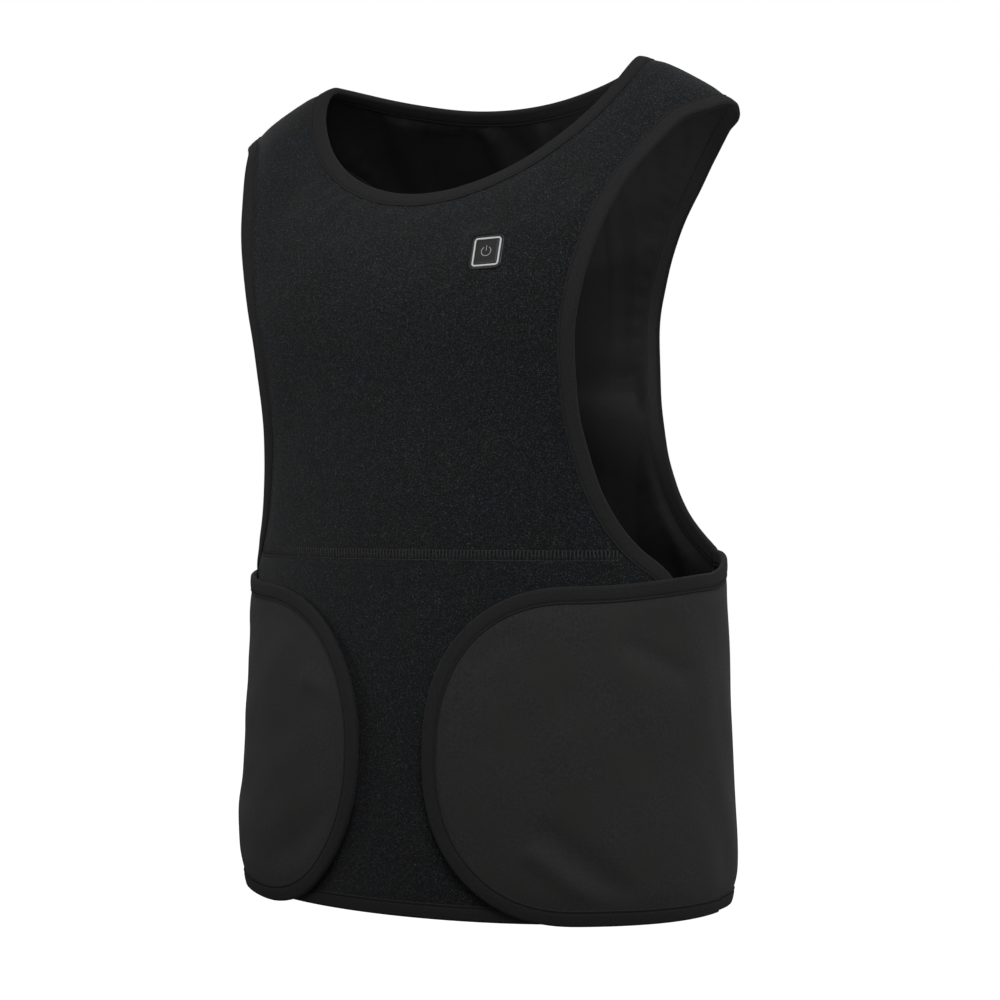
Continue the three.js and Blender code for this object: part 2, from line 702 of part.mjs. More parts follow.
function bothHalves(...grids) {
  const cloth = new Cloth();
  grids.forEach((rows) => cloth.grid(rows));
  return cloth;
}
const frontUpperCloth = bothHalves(frontUpper.rows, stripRows(frontUpper.neck), stripRows(frontUpper.arm));
const frontLowerCloth = bothHalves(frontLower.rows, stripRows(frontLower.hem), stripRows(frontLower.side));
const backGrids = [backUpper.rows, stripRows(backUpper.neck), stripRows(backUpper.arm), backLower.rows];
const backCloth = bothHalves(...backGrids);

// The button's place: a frame on the chest with its own right, up and outward directions.
const seat = upperNode(front, buttonAcross, fallAt(buttonAcross, length - buttonDrop));
const right = new THREE.Vector3(1, 0, 0).addScaledVector(seat.n, -seat.n.x).normalize();
right.applyAxisAngle(seat.n, rad(buttonTurn));
const up = seat.n.clone().cross(right);
const buttonPlace = new THREE.Matrix4().makeBasis(right, up, seat.n).setPosition(seat.p);

function roundedRectangle(wide, tall, corner) {
  const shape = new THREE.Shape();
  const steps = 5;
  for (let quarter = 0; quarter < 4; quarter++) {
    for (let i = 0; i <= steps; i++) {
      const angle = ((quarter + i / steps) * Math.PI) / 2;
      const diagonal = ((quarter + 0.5) * Math.PI) / 2;
      const x = Math.sign(Math.cos(diagonal)) * (wide / 2 - corner) + corner * Math.cos(angle);
      const y = Math.sign(Math.sin(diagonal)) * (tall / 2 - corner) + corner * Math.sin(angle);
      if (quarter + i === 0) shape.moveTo(x, y);
      else shape.lineTo(x, y);
    }
  }
  return shape;
}
function plate(shape, from, to) {
  return new THREE.ExtrudeGeometry(shape, { depth: to - from, bevelEnabled: false }).translate(0, 0, from);
}
function solidOf(geometry) {
  const bare = geometry.clone();
  bare.deleteAttribute("normal");
  bare.deleteAttribute("uv");
  const merged = mergeVertices(bare, 1e-5);
  return new wasm.Manifold(
    new wasm.Mesh({
      numProp: 3,
      vertProperties: new Float32Array(merged.attributes.position.array),
      triVerts: new Uint32Array(merged.index.array),
    }),
  );
}
function cut(body, tool) {
  const mesh = solidOf(body).subtract(solidOf(tool)).getMesh();
  const geometry = new THREE.BufferGeometry();
  geometry.setAttribute("position", new THREE.Float32BufferAttribute(mesh.vertProperties, 3));
  geometry.setIndex([...mesh.triVerts]);
  return geometry;
}

// The same outline, wider all round.
function grown(wide, tall, corner, by) {
  return roundedRectangle(wide + 2 * by, tall + 2 * by, corner + by);
}
const windowShape = grown(buttonWide, buttonTall, buttonCorner, clearance);
const windowReach = 4 * frontWall; // well through the curved wall
const windowCut = plate(windowShape, -windowReach, windowReach).applyMatrix4(buttonPlace);
const frontUpperWall = wallOf(frontUpperCloth, always(0), always(-frontWall));
add("front_upper_panel", cut(frontUpperWall, windowCut), knit);
add("front_lower_panel", wallOf(frontLowerCloth, always(0), always(-frontWall)), knit);
add("back_panel", wallOf(backCloth, always(0), always(-backWall)), knit);
add("back_lining", wallOf(backCloth, always(-liningFace), always(-backStack)), liningCloth);

// Wings, their bindings and the hook patches that hold them to the front.
for (const wing of wings) {
  const { patches, run } = wingCloth(wing);
  const turned = wing.side > 0 ? (node) => node : mirrorNode;
  const cloth = new Cloth();
  [...patches, stripRows(run)].forEach((rows) => cloth.grid(rows.map((row) => row.map(turned)), false));
  const outer = (node) => node.lift;
  const inner = (node) => node.lift - wingWall;
  add(`${wing.name}_wing`, wallOf(cloth, outer, inner), softshell);
  const edge = trimRun(wing.side > 0 ? run : mirrorRun(run), clearance);
  add(`${wing.name}_wing_binding`, bindingOf(edge, false, outer, inner), bindingTape);

  const patch = new Cloth();
  const patchAngle = (t) => angleAtArc(wing.tip + patchStart + t * patchWide);
  const patchHeight = (t) => patchMiddle + (t - 0.5) * patchHigh;
  const patchRow = (v) => even(patchCells).map((u) => turned(bandNode(patchAngle(u), patchHeight(v))));
  patch.grid(even(patchCells).map(patchRow), false);
  add(`${wing.name}_hook_patch`, wallOf(patch, always(wingGap - patchClear), always(patchGap)), hookTape);
}

// Bindings of the body.
const innerFace = (node) => -node.wall;
const neckRun = joinRuns(frontUpper.neck, [...backUpper.neck].reverse());
const neckLoop = [...neckRun.slice(0, -1), ...mirrorRun(neckRun).slice(1).reverse()];
add("neck_binding", bindingOf(neckLoop, true, always(0), innerFace), bindingTape);
const frontSide = joinRuns(frontLower.side, frontUpper.arm);
const sideRun = trimRun(joinRuns(frontSide, [...backUpper.arm].reverse()), clearance);
add("left_armhole_binding", bindingOf(sideRun, false, always(0), innerFace), bindingTape);
add("right_armhole_binding", bindingOf(mirrorRun(sideRun), false, always(0), innerFace), bindingTape);
for (const [name, half] of [["front_hem_binding", frontLower], ["back_hem_binding", backLower]]) {
  const hemRun = trimRun(bothSides(half.hem), seamHalfGap);
  add(name, bindingOf(hemRun, false, always(0), innerFace), bindingTape);
}

// Power button.
const pocketFloor = buttonProud - pocketDepth;
const seatFloor = pocketFloor + clearance;
const block = plate(roundedRectangle(buttonWide, buttonTall, buttonCorner), -frontWall, buttonProud);
const pocket = plate(grown(frameWide, frameTall, frameCorner, clearance), pocketFloor, 2 * buttonProud);
add("power_button_housing", cut(block, pocket), blackPlastic, buttonPlace);
const frameShape = roundedRectangle(frameWide, frameTall, frameCorner);
frameShape.holes.push(grown(frameWide, frameTall, frameCorner, -frameBand));
add("power_button_frame", plate(frameShape, seatFloor, buttonProud), whitePlastic, buttonPlace);
const keyShape = grown(frameWide, frameTall, frameCorner, -frameBand - clearance);
add("power_button_key", plate(keyShape, seatFloor, buttonProud + keyProud), blackPlastic, buttonPlace);

// The origin is where the vest rests on the shoulders: under the middle of the straps.
const restHeight = ridge((neckHalf + shoulderHalf) / 2) - frontWall;
vest.position.z = -restHeight;
vest.updateMatrixWorld(true);

export default vest;
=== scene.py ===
# %% [markdown]
# # A heated work vest
# The vest is a tabard that is pulled on over the head: a padded knitted front, a lined back, two
# shoulder straps and two wings that come round from the back and close on the front with hook tape.
# Every raw edge is folded into a knitted tape. Each piece could be modelled by hand with subdivision
# surfaces, but they all lie on one body, so here one formula describes the body and every piece is
# cut from it. The pieces then fit each other exactly, and each can have as many points as its
# folds and stitches need.

# %% Load the fixed model
import math

import bpy
import numpy as np
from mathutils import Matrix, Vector


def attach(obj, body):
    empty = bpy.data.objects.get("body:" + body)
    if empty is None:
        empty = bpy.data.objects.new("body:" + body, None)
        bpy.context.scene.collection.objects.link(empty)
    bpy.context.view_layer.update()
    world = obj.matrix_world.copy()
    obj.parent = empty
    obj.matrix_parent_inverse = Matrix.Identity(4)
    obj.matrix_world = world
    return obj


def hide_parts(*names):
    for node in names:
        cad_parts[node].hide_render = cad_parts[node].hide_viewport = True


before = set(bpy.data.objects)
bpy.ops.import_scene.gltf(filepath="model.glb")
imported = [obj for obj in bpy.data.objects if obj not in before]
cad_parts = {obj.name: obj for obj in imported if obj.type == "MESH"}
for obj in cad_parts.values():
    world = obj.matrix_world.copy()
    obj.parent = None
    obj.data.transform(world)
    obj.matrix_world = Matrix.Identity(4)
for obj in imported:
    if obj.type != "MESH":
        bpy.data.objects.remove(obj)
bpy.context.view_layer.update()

# %% [markdown]
# ## The camera
# The photograph was taken level with the middle of the vest, 30 degrees to the wearer's left. A long
# lens far away would flatten the vest, and the photograph shows some perspective: the near strap is
# higher than the far one. So the lens and distance below were fitted together to the outline.

# %% Camera
PHOTO_PIXELS = 1000
SENSOR = 36.0  # mm
FOCAL = 2341.5  # pixels
DISTANCE = 1.75  # metres from the vest's upright axis
AZIMUTH = math.radians(30)
EYE_HEIGHT = -0.2985  # metres, below the shoulders
AXIS_COLUMN = 483  # pixel column of the vest's upright axis
HORIZON_ROW = 497  # pixel row of the eye's height

lens = bpy.data.cameras.new("camera")
lens.lens = SENSOR * FOCAL / PHOTO_PIXELS
lens.sensor_width = SENSOR
lens.shift_x = 0.5 - AXIS_COLUMN / PHOTO_PIXELS
lens.shift_y = HORIZON_ROW / PHOTO_PIXELS - 0.5
camera = bpy.data.objects.new("camera", lens)
camera.location = (DISTANCE * math.sin(AZIMUTH), -DISTANCE * math.cos(AZIMUTH), EYE_HEIGHT)
camera.rotation_euler = (math.pi / 2, 0, AZIMUTH)
bpy.context.collection.objects.link(camera)
bpy.context.scene.camera = camera
print(f"lens {lens.lens:.1f} mm at {DISTANCE} m")

# %% [markdown]
# ## Real sizes
# A pattern maker writes the finished sizes down first. These are in millimetres, measured from the
# hem upward and from the middle outward, and the tables hold shares of them.

# %% Sizes of the vest
MM_IN_METRE = 1000
LENGTH = 610  # hem to neck point
HEM_HALF = 191
FRONT_DEPTH = 121
BACK_DEPTH = 120
SHOULDER_HALF = 205
SHOULDER_DROP = 39
NECK_HALF = 132
NECK_DROP_FRONT = 101
NECK_DROP_BACK = 22
SEAM_HEIGHT = 253  # hem to the flat seam across the front
BAND_HEIGHT = 252  # hem to the corner of the side seam
WING_HEIGHT = 229
WING_RISE = 8
HEM_RISE = 2.5

FRONT_WALL = 3.1
BACK_WALL = 1.9
LINING_WALL = 0.9
WING_WALL = 2.5
TAPE = 0.7
REACH = 9.5  # how far a binding covers the cloth
CLEARANCE = 0.3
PLY_GAP = 0.9

FULLNESS = 0.85
BLEND = 9
CROWN_SOFT = 22
CROWN_SHIFT = 12
ROLL_START = 110
FRONT = dict(turn=1, depth="front", lean=0.71, neck_roll=18, end_roll=53, size=FRONT_DEPTH)
BACK = dict(turn=-1, depth="back", lean=0.72, neck_roll=55, end_roll=55, size=BACK_DEPTH)

BIND_BUILD = CLEARANCE + TAPE
WING_GAP = BIND_BUILD + PLY_GAP + TAPE + CLEARANCE
WING_STAND = WING_GAP + WING_WALL
LINING_FACE = BACK_WALL + CLEARANCE
BACK_STACK = LINING_FACE + LINING_WALL
SMALL = 1e-3  # step over which a slope is measured
print(f"wings stand {WING_STAND:.1f} mm outside the front panel")

# %% [markdown]
# The wearer's form and the openings are short tables. A row is a place where a tailor would measure,
# and a smooth curve joins the rows. Shares of the sizes above are used, so that another size of
# vest needs only other sizes.

# %% Tables of the body and its openings
# height is a share of LENGTH, half of HEM_HALF, front and back of the depths, stand of WING_STAND.
SECTIONS = [
    dict(height=-0.02, half=0.965, front=0.97, back=0.97, stand=1.0),
    dict(height=0.04, half=1.0, front=1.0, back=1.0, stand=1.0),
    dict(height=0.197, half=0.982, front=0.971, back=0.98, stand=1.0),
    dict(height=0.402, half=0.959, front=0.946, back=0.967, stand=1.0),
    dict(height=0.493, half=0.985, front=0.979, back=0.95, stand=0.8),
    dict(height=0.591, half=1.088, front=1.017, back=0.942, stand=0.4),
    dict(height=0.69, half=1.16, front=1.098, back=0.942, stand=0.0),
    dict(height=0.788, half=1.186, front=1.128, back=0.95, stand=0.0),
    dict(height=0.887, half=1.196, front=1.182, back=0.958, stand=0.0),
    dict(height=1.02, half=1.196, front=1.235, back=0.967, stand=0.0),
]
# height is a share of the way from the armhole's foot to the shoulder's end, half of a half width
# that runs from the foot's to the shoulder's.
FRONT_ARMHOLE = [
    (0.039, 0.937), (0.079, 0.887), (0.142, 0.827), (0.221, 0.779), (0.332, 0.733), (0.442, 0.719),
    (0.553, 0.729), (0.678, 0.759), (0.804, 0.802), (0.898, 0.859), (0.962, 0.907), (0.988, 0.967),
]
BACK_ARMHOLE = [
    (0.044, 0.867), (0.09, 0.761), (0.166, 0.66), (0.262, 0.584), (0.388, 0.535), (0.512, 0.514),
    (0.638, 0.533), (0.765, 0.598), (0.874, 0.717), (0.937, 0.819), (0.969, 0.89), (0.988, 0.964),
]
FRONT_NECK = dict(drop=NECK_DROP_FRONT, across=1.02, down=1.25)
BACK_NECK = dict(drop=NECK_DROP_BACK, across=1, down=2.2)
CORNER_ANGLE = 62.4  # degrees from the middle of the front
SIDE_ANGLE = 78
SEAM_ANGLE = 120
SIDE_TURN = 0.81
print(f"{len(SECTIONS)} sections, {len(FRONT_ARMHOLE)} and {len(BACK_ARMHOLE)} points of the armholes")

# %% [markdown]
# ## The body's surface
# A garment on a wearer is a tent over the shoulders and a tube round the body. Each is a simple
# formula, and a blend of the two gives the chest and the shoulder blades. A place on the cloth is
# named by two numbers: over the shoulders its distance from the middle and its fall, the root of
# how far it is below the ridge, and round the body its angle and its height.

# %% Formulas of the surface
def smoothstep(value, low, high):
    share = np.clip((value - low) / (high - low), 0, 1)
    return share * share * (3 - 2 * share)


def section(column, height):
    """A column of the sections at a height, on a smooth curve through the rows."""
    knots = np.array([row["height"] for row in SECTIONS])
    values = np.array([row[column] for row in SECTIONS])
    low = np.maximum(np.arange(len(knots)) - 1, 0)
    high = np.minimum(np.arange(len(knots)) + 1, len(knots) - 1)
    slopes = (values[high] - values[low]) / (knots[high] - knots[low])
    share = np.clip(np.asarray(height) / LENGTH, knots[0], knots[-1])
    i = np.searchsorted(knots[1:-1], share)
    step = knots[i + 1] - knots[i]
    t = (share - knots[i]) / step
    rise = t * t * (3 - 2 * t)
    bend = t * (1 - t) ** 2 * step * slopes[i] + t * t * (t - 1) * step * slopes[i + 1]
    return values[i] + (values[i + 1] - values[i]) * rise + bend


def half_width(face, height):
    stand = WING_STAND * section("stand", height) if face is BACK else 0
    return HEM_HALF * section("half", height) + stand


def ridge(x):
    """Height of the top of the shoulders."""
    def soft(width):
        return CROWN_SOFT * np.log1p(np.exp((width - NECK_HALF - CROWN_SHIFT) / CROWN_SOFT))
    slope = SHOULDER_DROP / (soft(SHOULDER_HALF) - soft(NECK_HALF))
    return LENGTH + slope * (soft(NECK_HALF) - soft(np.abs(x)))


def depth_at(face, x, fall):
    """Depth of the cloth where it hangs from the ridge or lies on the body's wall."""
    rolling = smoothstep(np.abs(x), ROLL_START, SHOULDER_HALF)
    roll = face["neck_roll"] + (face["end_roll"] - face["neck_roll"]) * rolling
    tent = face["lean"] * fall * np.sqrt(fall**2 + 2 * roll)
    height = ridge(x) - fall**2
    across = np.minimum(np.abs(x) / half_width(face, height), 1)
    wall = face["size"] * section(face["depth"], height) * (1 - across**2) ** (FULLNESS / 2)
    less = np.minimum(tent, wall)
    more = np.maximum(np.maximum(tent, wall), SMALL)
    return less * (1 + (less / more) ** BLEND) ** (-1 / BLEND)


REST_HEIGHT = float(ridge((NECK_HALF + SHOULDER_HALF) / 2)) - FRONT_WALL
print(f"the vest rests on the shoulders {REST_HEIGHT:.2f} mm above its hem")

# %% [markdown]
# Two functions give a place in space from its two numbers, one over the shoulders and one round the
# body. The direction outward comes from two small steps along the cloth, which works for any
# formula, so walls and folds can be raised square to the cloth.

# %% Places on the cloth and the direction outward
def over_shoulder(face):
    def place(x, fall):
        return np.stack([x, -face["turn"] * depth_at(face, x, fall), ridge(x) - fall**2], axis=-1)
    return place


def fall_at(x, height):
    return np.sqrt(np.maximum(ridge(x) - height, 0))


def round_body(angle, height):
    """A place from its angle in degrees and its height."""
    sine = np.sin(np.radians(angle))
    rise = HEM_RISE * sine**2 * np.maximum(1 - height / BAND_HEIGHT, 0)
    sides = []
    for face in (FRONT, BACK):
        x = half_width(face, height) * sine
        y = -face["turn"] * depth_at(face, x, fall_at(x, height))
        sides.append(np.stack([x, y, height + rise], axis=-1))
    return np.where(np.abs(angle)[..., None] > 90, sides[1], sides[0])


def unit(vectors):
    return vectors / np.linalg.norm(vectors, axis=-1, keepdims=True)


def slopes_at(place, u, v):
    along_u = (place(u + SMALL, v) - place(u - SMALL, v)) / (2 * SMALL)
    along_v = (place(u, v + SMALL) - place(u, v - SMALL)) / (2 * SMALL)
    return along_u, along_v


def outward(place, u, v):
    """Directions square to the cloth, away from the wearer."""
    along_u, along_v = slopes_at(place, u, v)
    normal = unit(np.cross(along_u, along_v))
    return -normal if place is CHEST else normal


CHEST = over_shoulder(FRONT)
SHOULDER_BLADES = over_shoulder(BACK)
print("middle of the chest, mm:", CHEST(np.array([0.0]), np.array([12.0]))[0].round(1))

# %% [markdown]
# ## Lines on the cloth
# The armhole is a smooth curve through a few points, as a pattern maker draws it with a French
# curve. A centripetal spline passes through every point without loops. Lines are then divided by
# their true length on the cloth, so that stitches and mesh cells come out even.

# %% Helpers for lines
FINE_STEPS = 1200  # steps along a line when its length is measured


def spline(points):
    """A centripetal curve through points, as a function of a share from 0 to 1."""
    points = np.asarray(points, dtype=float)
    padded = np.vstack([2 * points[0] - points[1], points, 2 * points[-1] - points[-2]])
    spans = np.sqrt(np.linalg.norm(np.diff(padded, axis=0), axis=1))

    def at(share):
        position = np.clip(np.asarray(share) * (len(points) - 1), 0, len(points) - 1)
        i = np.minimum(position.astype(int), len(points) - 2)
        t = (position - i)[..., None]
        p0, p1, p2, p3 = (padded[i + k] for k in range(4))
        d0, d1, d2 = (spans[i + k][..., None] for k in range(3))
        start = ((p1 - p0) / d0 - (p2 - p0) / (d0 + d1) + (p2 - p1) / d1) * d1
        end = ((p2 - p1) / d1 - (p3 - p1) / (d1 + d2) + (p3 - p2) / d2) * d1
        square = -3 * p1 + 3 * p2 - 2 * start - end
        return p1 + start * t + square * t**2 + (2 * p1 - 2 * p2 + start + end) * t**3
    return at


def spread(place, line, shares):
    """Spots of a line at shares of its true length on the cloth."""
    steps = np.linspace(0, 1, FINE_STEPS)
    points = place(*line(steps).T)
    run = np.concatenate([[0], np.cumsum(np.linalg.norm(np.diff(points, axis=0), axis=1))])
    return line(np.interp(np.asarray(shares) * run[-1], run, steps))


def length_of(place, line):
    points = place(*line(np.linspace(0, 1, FINE_STEPS)).T)
    return float(np.linalg.norm(np.diff(points, axis=0), axis=1).sum())


def fill(bottom, top, left, right):
    """Spots inside a four-sided patch, from the spots along its sides."""
    u = np.linspace(0, 1, len(bottom))[None, :, None]
    v = np.linspace(0, 1, len(left))[:, None, None]
    across = bottom[None] * (1 - v) + top[None] * v
    up = left[:, None] * (1 - u) + right[:, None] * u
    low = bottom[0] * (1 - u) + bottom[-1] * u
    high = top[0] * (1 - u) + top[-1] * u
    return across + up - (low * (1 - v) + high * v)


print(f"lines are measured in {FINE_STEPS} steps")

# %% [markdown]
# The neckline is half an ellipse on the cloth, deep in front and shallow in back. The armhole starts
# at the corner of the side seam or the wing, runs in round the arm and ends on the shoulder. Both
# could be drawn by hand as curves, but as formulas they follow the sizes.

# %% Neckline and armholes
def neck_line(neck):
    def line(share):
        turn = share * math.pi / 2
        x = NECK_HALF * np.sin(turn) ** neck["across"]
        drop = neck["drop"] * np.maximum(np.cos(turn), 0) ** neck["down"]
        return np.stack([x, fall_at(x, LENGTH - drop)], axis=-1)
    return line


def arm_line(armhole, corner, foot):
    knots = [(corner, float(fall_at(corner, foot)))]
    for height, half in armhole:
        x = half * (corner + (SHOULDER_HALF - corner) * height)
        level = foot + (LENGTH - SHOULDER_DROP - foot) * height
        knots.append((x, float(fall_at(x, level))))
    return spline([*knots, (SHOULDER_HALF, 0)])


front_corner = float(half_width(FRONT, SEAM_HEIGHT)) * math.sin(math.radians(CORNER_ANGLE))
back_corner = float(half_width(BACK, BAND_HEIGHT)) * math.sin(math.radians(SEAM_ANGLE))
front_arm = arm_line(FRONT_ARMHOLE, front_corner, SEAM_HEIGHT)
back_arm = arm_line(BACK_ARMHOLE, back_corner, BAND_HEIGHT)
print(f"front armhole {length_of(CHEST, front_arm):.0f} mm")
print(f"back armhole {length_of(SHOULDER_BLADES, back_arm):.0f} mm")

# %% [markdown]
# ## How cloth lies
# Cloth is never as smooth as the form under it. A padded front swells a little between its edges and
# sinks where a binding or a seam is sewn through it, and thin lining puckers at its stitches. A
# sculpting brush could do this on the finished mesh; here a few named waves and hollows move each
# point in or out, so that every piece that shares an edge moves alike.

# %% Waves and distances
WAVE_COUNT = 10
WAVE_RANGE = (0.6, 1.5)  # shortest and longest wave, as shares of the usual turns in a length
BLOCK = 4000  # points that are measured at once, to save memory


def waves(points, size, seed):
    """A soft random relief of about plus or minus one, with swellings about size mm apart."""
    random = np.random.default_rng(seed)
    turns = unit(random.normal(size=(WAVE_COUNT, 3))) * random.uniform(*WAVE_RANGE, (WAVE_COUNT, 1))
    phases = random.uniform(0, 2 * math.pi, WAVE_COUNT)
    relief = np.sin(points @ turns.T * (2 * math.pi / size) + phases).sum(axis=-1)
    return relief / math.sqrt(WAVE_COUNT)


def swellings(points, rows, shift=0):
    """The sum of several waves, one for each row of a table."""
    return sum(row["high"] * waves(points, row["size"], row["seed"] + shift) for row in rows)


def distance_to(points, line):
    """Distance from each point to a line of points, and how far along it the nearest one lies."""
    flat = points.reshape(-1, 3)
    nearest = np.empty(len(flat))
    along = np.empty(len(flat))
    run = np.concatenate([[0], np.cumsum(np.linalg.norm(np.diff(line, axis=0), axis=1))])
    for start in range(0, len(flat), BLOCK):
        part = flat[start:start + BLOCK]
        squares = ((part[:, None] - line[None]) ** 2).sum(axis=-1)
        index = squares.argmin(axis=1)
        nearest[start:start + BLOCK] = np.sqrt(squares[np.arange(len(part)), index])
        along[start:start + BLOCK] = run[index]
    return nearest.reshape(points.shape[:-1]), along.reshape(points.shape[:-1])


def mirror(points):
    return points * [-1, 1, 1]


print("one wave at the origin:", waves(np.zeros(3), 100, 1).round(2))

# %% [markdown]
# Puckers start at a stitched edge, so the edges are kept as lines of points a few millimetres apart.
# Every later piece asks how far it is from them.

# %% Lines of the stitched edges
LINE_STEP = 4.0
SEAM_POINTS = 65
SEAM_BELOW = 5  # the side seam's line runs on below the hem


def line_points(place, line):
    count = max(int(length_of(place, line) / LINE_STEP), 2)
    return place(*spread(place, line, np.linspace(0, 1, count + 1)).T)


edge_lines = {
    "front_neck": line_points(CHEST, neck_line(FRONT_NECK)),
    "back_neck": line_points(SHOULDER_BLADES, neck_line(BACK_NECK)),
    "front_arm": line_points(CHEST, front_arm),
    "back_arm": line_points(SHOULDER_BLADES, back_arm),
}
seam_heights = np.linspace(-SEAM_BELOW, BAND_HEIGHT, SEAM_POINTS)
side_seam = round_body(np.full(SEAM_POINTS, float(SEAM_ANGLE)), seam_heights)
edge_lines["neck"] = np.vstack([edge_lines["front_neck"], edge_lines["back_neck"][::-1]])
edge_lines["arm"] = np.vstack([edge_lines["front_arm"], edge_lines["back_arm"][::-1]])
print({name: len(points) for name, points in edge_lines.items()})

# %% [markdown]
# The knit is pressed in beside its bindings and sinks at the seams. Between them it swells, more on
# the free chest and the back than under the wings, and the neckline has faint puckers.

# %% The relief of the knit
# high is how far the swellings stand out and size how far apart they are, in mm.
CLOTH_WAVES = [
    dict(high=0.9, size=190, seed=1),
    dict(high=0.3, size=55, seed=2),
]
MIDDLE_SOFT = 15.0  # width over which the two halves' waves meet without a crease
UNDER_WINGS = 0.3  # share of the swellings that is left where the wings press on the front
WORN = (120, 330)  # heights over which the front comes free of the wings
# The bindings press the knit in, from the heights in rise upward.
PINCH = dict(depth=0.8, spread=7.0, rise=(236, 262))
# The neck's puckers are a step apart and highest at start, in shares of REACH. They fade over reach,
# and upward over the heights in fade. wander, size and seed make them uneven.
NECK_PUCKER = dict(
    depth=0.5, step=19.0, start=1.5, reach=9, fade=(500, 540), wander=3, size=160, seed=4,
)
SEAM_SINK = dict(depth=0.6, spread=5)
# calm is the width of the flat strip beside the side seam.
SIDE_SINK = dict(depth=0.9, spread=2.5, calm=15)


def folded(points):
    """The same place on the wearer's left, because both halves are cut from one pattern."""
    return np.concatenate([np.abs(points[..., :1]), points[..., 1:]], axis=-1)


def bell(distance, spread):
    """One at the line itself, and nothing beyond about twice the spread."""
    return np.exp(-((distance / spread) ** 2))


def neck_puckers(points, neck, along):
    wander = NECK_PUCKER["wander"] * waves(points, NECK_PUCKER["size"], NECK_PUCKER["seed"])
    pucker = np.sin(2 * math.pi * along / NECK_PUCKER["step"] + wander)
    near = np.exp(-np.abs(neck - NECK_PUCKER["start"] * REACH) / NECK_PUCKER["reach"])
    return NECK_PUCKER["depth"] * pucker * near * (1 - smoothstep(points[..., 2], *NECK_PUCKER["fade"]))


def cloth_relief(points):
    """How far the knit stands out of its plain form, in millimetres."""
    half = folded(points)
    wavy = np.concatenate([np.hypot(points[..., :1], MIDDLE_SOFT), points[..., 1:]], axis=-1)
    neck, along = distance_to(half, edge_lines["neck"])
    arm, _ = distance_to(half, edge_lines["arm"])
    side, _ = distance_to(half, side_seam)
    height = points[..., 2]
    in_front = points[..., 1] < 0
    edge = np.maximum(np.minimum(neck, arm) - REACH, 0)
    pinch = PINCH["depth"] * bell(edge, PINCH["spread"]) * smoothstep(height, *PINCH["rise"])
    worn = np.where(in_front, smoothstep(height, *WORN), 1)
    free = (UNDER_WINGS + (1 - UNDER_WINGS) * worn) * (1 - bell(side, SIDE_SINK["calm"]))
    seam = SEAM_SINK["depth"] * bell(height - SEAM_HEIGHT, SEAM_SINK["spread"]) * in_front
    sink = SIDE_SINK["depth"] * bell(side, SIDE_SINK["spread"])
    return neck_puckers(wavy, neck, along) + free * swellings(wavy, CLOTH_WAVES) - pinch - seam - sink


sample = CHEST(np.array([0.0, 40.0, 80.0]), np.array([12.0, 14.0, 16.0]))
print("relief of the chest, mm:", cloth_relief(sample).round(2))

# %% [markdown]
# The lining is cut a little larger than the back and sewn to it only at its edges. So it puckers
# beside the bindings and hangs in long soft folds toward the wearer between them. These are the
# folds that the armhole lets one see.

# %% The relief of the lining
# stretch makes the folds narrow where it is over 1, and long where it is under 1.
LINING_FOLDS = [
    dict(depth=4.5, stretch=[1.7, 1, 0.3], size=75, seed=22),
    dict(depth=3.0, stretch=[0.5, 1, 2.0], size=120, seed=23),
]
LINING_PUCKERS = [
    dict(edge="back_neck", depth=1.2, step=15, reach=14),
    dict(edge="back_arm", depth=1.1, step=13, reach=12),
]
LINING_WANDER = dict(high=2.2, size=90, seed=21)
LINING_CALM = 5  # width of the flat strip beside a binding


def lining_relief(points):
    """How far the lining's inner face stands toward the wearer, as a negative height."""
    half = folded(points)
    wander = swellings(points, [LINING_WANDER])
    total = 0
    nearest = math.inf
    for fold in LINING_FOLDS:
        total += fold["depth"] * np.maximum(waves(points * fold["stretch"], fold["size"], fold["seed"]), 0)
    for pucker in LINING_PUCKERS:
        edge, along = distance_to(half, edge_lines[pucker["edge"]])
        beside = np.maximum(edge - REACH, 0)
        wave = 1 + np.sin(2 * math.pi * along / pucker["step"] + wander)
        total += pucker["depth"] * wave * np.exp(-beside / pucker["reach"])
        nearest = np.minimum(nearest, beside)
    return -total * (1 - bell(nearest, LINING_CALM))


blade_sample = SHOULDER_BLADES(np.array([0.0, 40.0, 80.0]), np.array([12.0, 14.0, 16.0]))
print("relief of the lining, mm:", lining_relief(blade_sample).round(2))

# %% [markdown]
# ## Mesh tools
# A sheet of cloth is closed like a slim cushion: an outer face, an inner face and a wall round its
# edge. Points are plain arrays until the last moment, and one function turns them into a Blender
# object, in metres, that rides with the vest's only body.

# %% From millimetres to Blender objects
def to_frame(points):
    return (np.asarray(points) - [0, 0, REST_HEIGHT]) / MM_IN_METRE


def make_piece(name, points, faces, materials=(), zones=None, uv=None, sharp=None):
    mesh = bpy.data.meshes.new(name)
    mesh.from_pydata(to_frame(points).tolist(), [], [list(map(int, face)) for face in faces])
    mesh.polygons.foreach_set("use_smooth", np.ones(len(mesh.polygons), dtype=bool))
    for material in materials:
        mesh.materials.append(material)
    if zones is not None:
        mesh.polygons.foreach_set("material_index", np.asarray(zones, dtype=np.int32))
    if uv is not None:
        corners = np.empty(len(mesh.loops), dtype=np.int32)
        mesh.loops.foreach_get("vertex_index", corners)
        mesh.uv_layers.new(name="cloth").data.foreach_set("uv", np.asarray(uv)[corners].ravel())
    if sharp is not None:
        mesh.set_sharp_from_angle(angle=math.radians(sharp))
    mesh.update()
    piece = bpy.data.objects.new(name, mesh)
    bpy.context.collection.objects.link(piece)
    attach(piece, "root")
    print(f"{name}: {len(points)} points, {len(faces)} faces")
    return piece


print("middle of the chest, metres:", to_frame(sample[0]).round(4))

